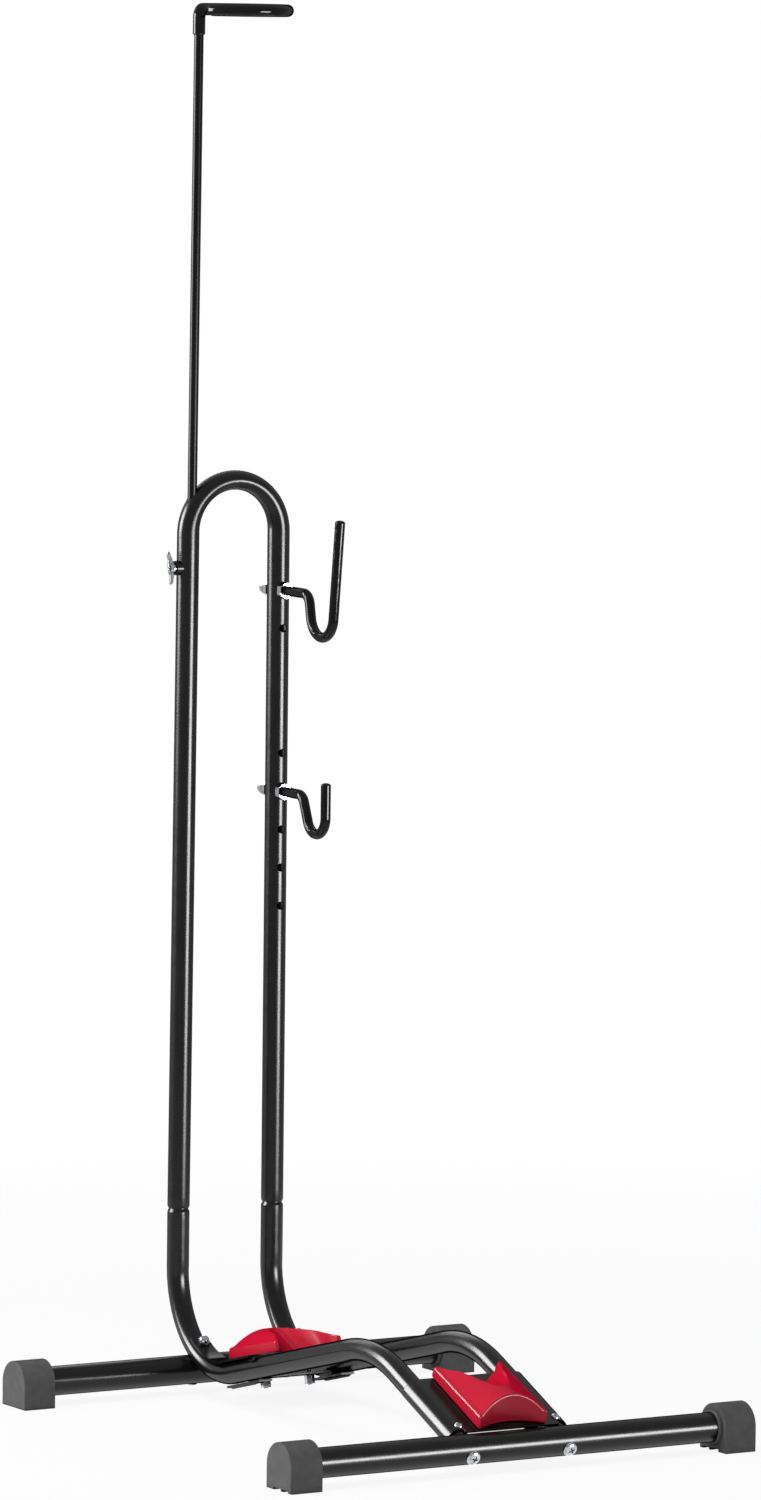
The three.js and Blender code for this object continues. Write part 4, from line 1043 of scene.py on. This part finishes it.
carve(rearTray, *studHoles(decks["rearBlock"]))
settle(placed(rearTray, rearFrame), coat, "frame", "rear_tray")
print("trays made")

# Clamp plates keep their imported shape, with eased edges
plates = {"ease": 0.5, "easeSteps": 2, "easeAngle": 50, "weldReach": 0.001, "flatWithin": 1}


def easedCopy(node, name):
    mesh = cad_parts[node].data.copy()
    mesh.transform(toRow.inverted())
    mesh.materials.clear()
    bm = bmesh.new()
    bm.from_mesh(mesh)
    bpy.data.meshes.remove(mesh)
    bmesh.ops.remove_doubles(bm, verts=bm.verts[:], dist=plates["weldReach"])
    flat = radians(plates["flatWithin"])
    bmesh.ops.dissolve_limit(bm, angle_limit=flat, verts=bm.verts[:], edges=bm.edges[:])
    return easeEdges(objectFrom(bm, name), plates["ease"], plates["easeSteps"], plates["easeAngle"])


for end in ("front", "rear"):
    settle(easedCopy(end + "_clamp_plate", end + "ClampPlate"), coat, "frame", end + "_clamp_plate")
print("clamp plates made")

# Wheel blocks: a moulding with a domed roof, a hollowed outer end and a notch with sloped walls
blocks = {
    "half": 43.5, "side": 15.5, "rise": 18.5, "shoulder": 39.5, "length": 106.0, "taper": 0.15,
    "hollow": 11.0, "topStart": -1.0, "footStart": -5.0, "tip": 39.0, "notchFoot": 75.0, "edge": 2.6,
    "edgeSteps": 6, "edgeAngle": 35, "sharp": 45, "rows": 6, "curveSteps": 4, "borePast": 5.0,
    "notchShares": ((0, 0.298), (0.138, 0.303), (0.251, 0.345), (0.326, 0.403), (0.423, 0.473), (0.495, 0.55),
                    (0.577, 0.641), (0.659, 0.727), (0.759, 0.804), (0.867, 0.872), (1.0, 1.0)),
}


def roofAt(u):
    return blocks["side"] + blocks["rise"] * max(0.0, 1 - (u / blocks["shoulder"]) ** 2)


# Places across the block, each with the reach of the notch's upper edge there
def notchLine():
    right = [(share * blocks["tip"], along * blocks["length"]) for share, along in blocks["notchShares"]]
    line = smoothLine([(-u, along) for u, along in right[:0:-1]] + right, blocks["curveSteps"])
    return [(-blocks["half"], blocks["length"])] + line + [(blocks["half"], blocks["length"])]


# The slice across the block at u, from the foot of the hollowed end over the roof to the foot of the notch
def blockSlice(u, notch):
    hollow = blocks["hollow"] * (1 - min(1.0, (u / blocks["half"]) ** 2))
    share = min(abs(u) / blocks["tip"], 1.0)
    footStart, topStart = blocks["footStart"] + hollow, blocks["topStart"] + hollow
    footEnd = blocks["notchFoot"] + (blocks["length"] - blocks["notchFoot"]) * share
    rows, points = blocks["rows"], [(footStart, 0.0)]
    for i in range(rows + 1):
        along = topStart + (notch - topStart) * i / rows
        points.append((along, roofAt(u) * (1 - blocks["taper"] * along / blocks["length"])))
    return points + [(footEnd, 0.0)]


def wheelBlock(name):
    loops = [[(u, along, height) for along, height in blockSlice(u, notch)] for u, notch in notchLine()]
    made = easeEdges(lofted(loops, name), blocks["edge"], blocks["edgeSteps"], blocks["edgeAngle"], False)
    past = blocks["borePast"]
    for sign in signs:
        hole = pin(studs["radius"] + tubes["seatGap"], studs["depth"] + past, -past)
        carve(made, placed(hole, at(sign * studs["place"], studs["along"], 0)))
    return made


for end, matrix in (("front", frontFrame), ("rear", rearFrame)):
    block = wheelBlock(end + "WheelBlock")
    placed(block, matrix @ at(0, decks[end + "Block"], deckHeight))
    settle(block, crimson, "frame", end + "_wheel_block", sharp=blocks["sharp"])
print("wheel blocks made")

# Wing screw through a welded boss on the outer side of the left leg
wing = {
    "bossRadius": 8.25, "bossReach": 5.0, "hubRadius": 5.6, "hubNeck": 4.6, "hubLength": 5.2,
    "thickness": 2.6, "reach": 13.0, "halfSpan": 19.2, "turn": -12.0, "ease": 0.8, "endEase": 0.6,
    "hubEase": 0.5, "smooth": 6, "bossSides": 56, "legSides": 80,
    "shares": ((0.431, 0.01), (0.462, 0.25), (0.508, 0.469), (0.6, 0.708), (0.708, 0.917), (0.815, 1.0),
               (0.923, 0.969), (0.969, 0.854), (0.938, 0.646), (0.923, 0.417), (0.985, 0.208), (1.0, 0.01)),
}
outward = Matrix.Rotation(-pi / 2, 4, "Y")


def wingBoss(outer):
    radius, ease = wing["bossRadius"], wing["endEase"]
    pairs = [(0, 0), (radius, 0), (radius, outer - ease), (radius - ease, outer), (0, outer)]
    boss = placed(turned(pairs, wing["bossSides"], "clampBoss"), outward)
    legCut = pin(arch["radius"] + tubes["seatGap"], cutLong, -cutLong / 2, wing["legSides"])
    bore = placed(pin(arch["screwRadius"] + tubes["slideGap"], cutLong, -cutLong / 2), intoX)
    return carve(boss, legCut, bore)


def wingHub(start, shank):
    end, radius, neck, length = arch["screwRadius"], wing["hubRadius"], wing["hubNeck"], wing["hubLength"]
    ease, rim = wing["endEase"], wing["hubEase"]
    pairs = [(0, -shank), (end - ease, -shank), (end, ease - shank), (end, 0), (radius - rim, 0),
             (radius, rim), (radius, length / 2), (neck, length - ease), (neck - ease, length), (0, length)]
    return placed(turned(pairs, name="wingScrew"), at(-start, 0, 0) @ outward)


def wingBlade(sign):
    outline = [(sign * up * wing["halfSpan"], -out * wing["reach"] - arch["radius"])
               for out, up in smoothLine(wing["shares"], wing["smooth"])]
    blade = placed(pushed(outline, wing["thickness"], -wing["thickness"] / 2, "blade"), intoY)
    return easeEdges(blade, wing["ease"])


bossOuter = arch["radius"] + wing["bossReach"]
settle(placed(wingBoss(bossOuter), screwFrame), coat, "frame", "clamp_boss")
hubStart = bossOuter + tubes["slideGap"]
shankReach = hubStart - tubes["slideGap"] - arch["rodRadius"] + arch["rodOffset"]
wingScrew = wingHub(hubStart, shankReach)
for sign in (1, -1):
    carve(wingScrew, wingBlade(sign), how="UNION")
placed(wingScrew, screwFrame @ Matrix.Rotation(radians(wing["turn"]), 4, "X"))
settle(wingScrew, zinc, "clamp_screw", "wing_screw")
print("wing screw made")

for name in ("left_rail_plug", "right_rail_plug"):
    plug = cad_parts[name].data
    plug.materials.clear()
    plug.materials.append(zinc)

# Floor, lamps and camera
studio = {
    "floorHalf": 6.0, "floorColour": (0.88, 0.88, 0.88), "floorGlow": 0.9, "floorFade": (0.9, 2.2),
    "fill": 0.2, "cameraAzimuth": 30.9252, "cameraPitch": 5.48297, "cameraRoll": 0.71035, "clipEnd": 100,
    "cameraPlace": (-5094.142, -8498.385, 1709.253), "lens": 144.0, "sensorHeight": 24.0,
    "lamps": (
        ("softLeft", (-3.4, 0.4, 1.2), (0, 0.1, 0.6), (2.4, 2.2), 102, "matt"),
        ("softTop", (-0.6, -0.2, 3.3), (0, 0, 0.3), (1.8, 1.8), 60, "matt"),
        ("stripRight", (1.58, -3.36, 0.34), (0, 0.3, 0.4), (1.7, 1.0), 430, "gloss"),
        ("bankLeft", (-3.0, 2.07, 1.75), (0, 0.3, 0.9), (1.8, 2.3), 680, "gloss"),
        ("bankBack", (0.6, 3.2, 2.1), (0, 0, 0.2), (2.5, 1.6), 64, "gloss"),
        ("tableGlow", (0, 0, 0.002), (0, 0, 1), (2.6, 2.6), 26, "gloss"),
    ),
}


# One where the camera, a gloss or a clear surface sees the background, zero for the light that it gives
def seenAsBackground(tree):
    path = tree.nodes.new("ShaderNodeLightPath")
    seen = path.outputs["Is Camera Ray"]
    for kind in ("Is Glossy Ray", "Is Transmission Ray"):
        either = addNode(tree, "ShaderNodeMath", {0: seen, 1: path.outputs[kind]})
        either.operation = "MAXIMUM"
        seen = either.outputs[0]
    return seen


def mixed(tree, share, first, second):
    return addNode(tree, "ShaderNodeMixShader", {"Fac": share, 1: first, 2: second}).outputs[0]


# The pale floor keeps the shadow near the object and fades into the white background
def makeFloor():
    half = studio["floorHalf"]
    corners = ((-half, -half), (half, -half), (half, half), (-half, half))
    bm = bmesh.new()
    bm.faces.new([bm.verts.new((x, y, 0)) for x, y in corners])
    floor = objectFrom(bm, "floor")
    material = bpy.data.materials.new("paleFloor")
    material.use_nodes = True
    tree = material.node_tree
    tree.nodes.clear()
    matt = addNode(tree, "ShaderNodeBsdfDiffuse", {"Color": (*studio["floorColour"], 1)})
    glow, clear = tree.nodes.new("ShaderNodeEmission"), tree.nodes.new("ShaderNodeBsdfTransparent")
    share = addNode(tree, "ShaderNodeMath", {0: seenAsBackground(tree), 1: studio["floorGlow"]})
    share.operation = "MULTIPLY"
    place = tree.nodes.new("ShaderNodeTexCoord")
    reach = addNode(tree, "ShaderNodeVectorMath", {0: place.outputs["Object"]})
    reach.operation = "LENGTH"
    fade = addRange(tree, reach.outputs["Value"], (0, 1), studio["floorFade"])
    lit = mixed(tree, share.outputs[0], matt.outputs[0], glow.outputs[0])
    addNode(tree, "ShaderNodeOutputMaterial", {"Surface": mixed(tree, fade, lit, clear.outputs[0])})
    floor.data.materials.append(material)


def makeWorld():
    world = bpy.data.worlds.new("studio")
    bpy.context.scene.world = world
    world.use_nodes = True
    tree = world.node_tree
    tree.nodes.clear()
    fill = addNode(tree, "ShaderNodeBackground", {"Color": (studio["fill"],) * 3 + (1,)})
    white = addNode(tree, "ShaderNodeBackground", {"Color": (1, 1, 1, 1)})
    surface = mixed(tree, seenAsBackground(tree), fill.outputs[0], white.outputs[0])
    addNode(tree, "ShaderNodeOutputWorld", {"Surface": surface})


def makeLamps():
    for name, place, aim, size, power, kind in studio["lamps"]:
        light = bpy.data.lights.new(name, "AREA")
        light.shape = "RECTANGLE"
        light.size, light.size_y = size
        light.energy = power
        lamp = linked(name, light)
        lamp.visible_camera = False
        lamp.visible_diffuse, lamp.visible_glossy = kind == "matt", kind == "gloss"
        lamp.location = place
        lamp.rotation_euler = (Vector(place) - Vector(aim)).to_track_quat("Z", "Y").to_euler()


def makeCamera():
    camera = bpy.data.cameras.new("camera")
    camera.lens = studio["lens"]
    camera.sensor_fit = "VERTICAL"
    camera.sensor_height = studio["sensorHeight"]
    camera.clip_end = studio["clipEnd"]
    view = linked("camera", camera)
    turn = Matrix.Rotation(-radians(studio["cameraAzimuth"]), 4, "Z")
    turn = turn @ Matrix.Rotation(pi / 2 - radians(studio["cameraPitch"]), 4, "X")
    turn = turn @ Matrix.Rotation(radians(studio["cameraRoll"]), 4, "Z")
    view.matrix_world = Matrix.Translation(toRow @ Vector(studio["cameraPlace"])) @ turn
    bpy.context.scene.camera = view


makeFloor()
makeWorld()
makeLamps()
makeCamera()
bpy.context.scene.view_settings.view_transform = "Standard"
print("studio made")
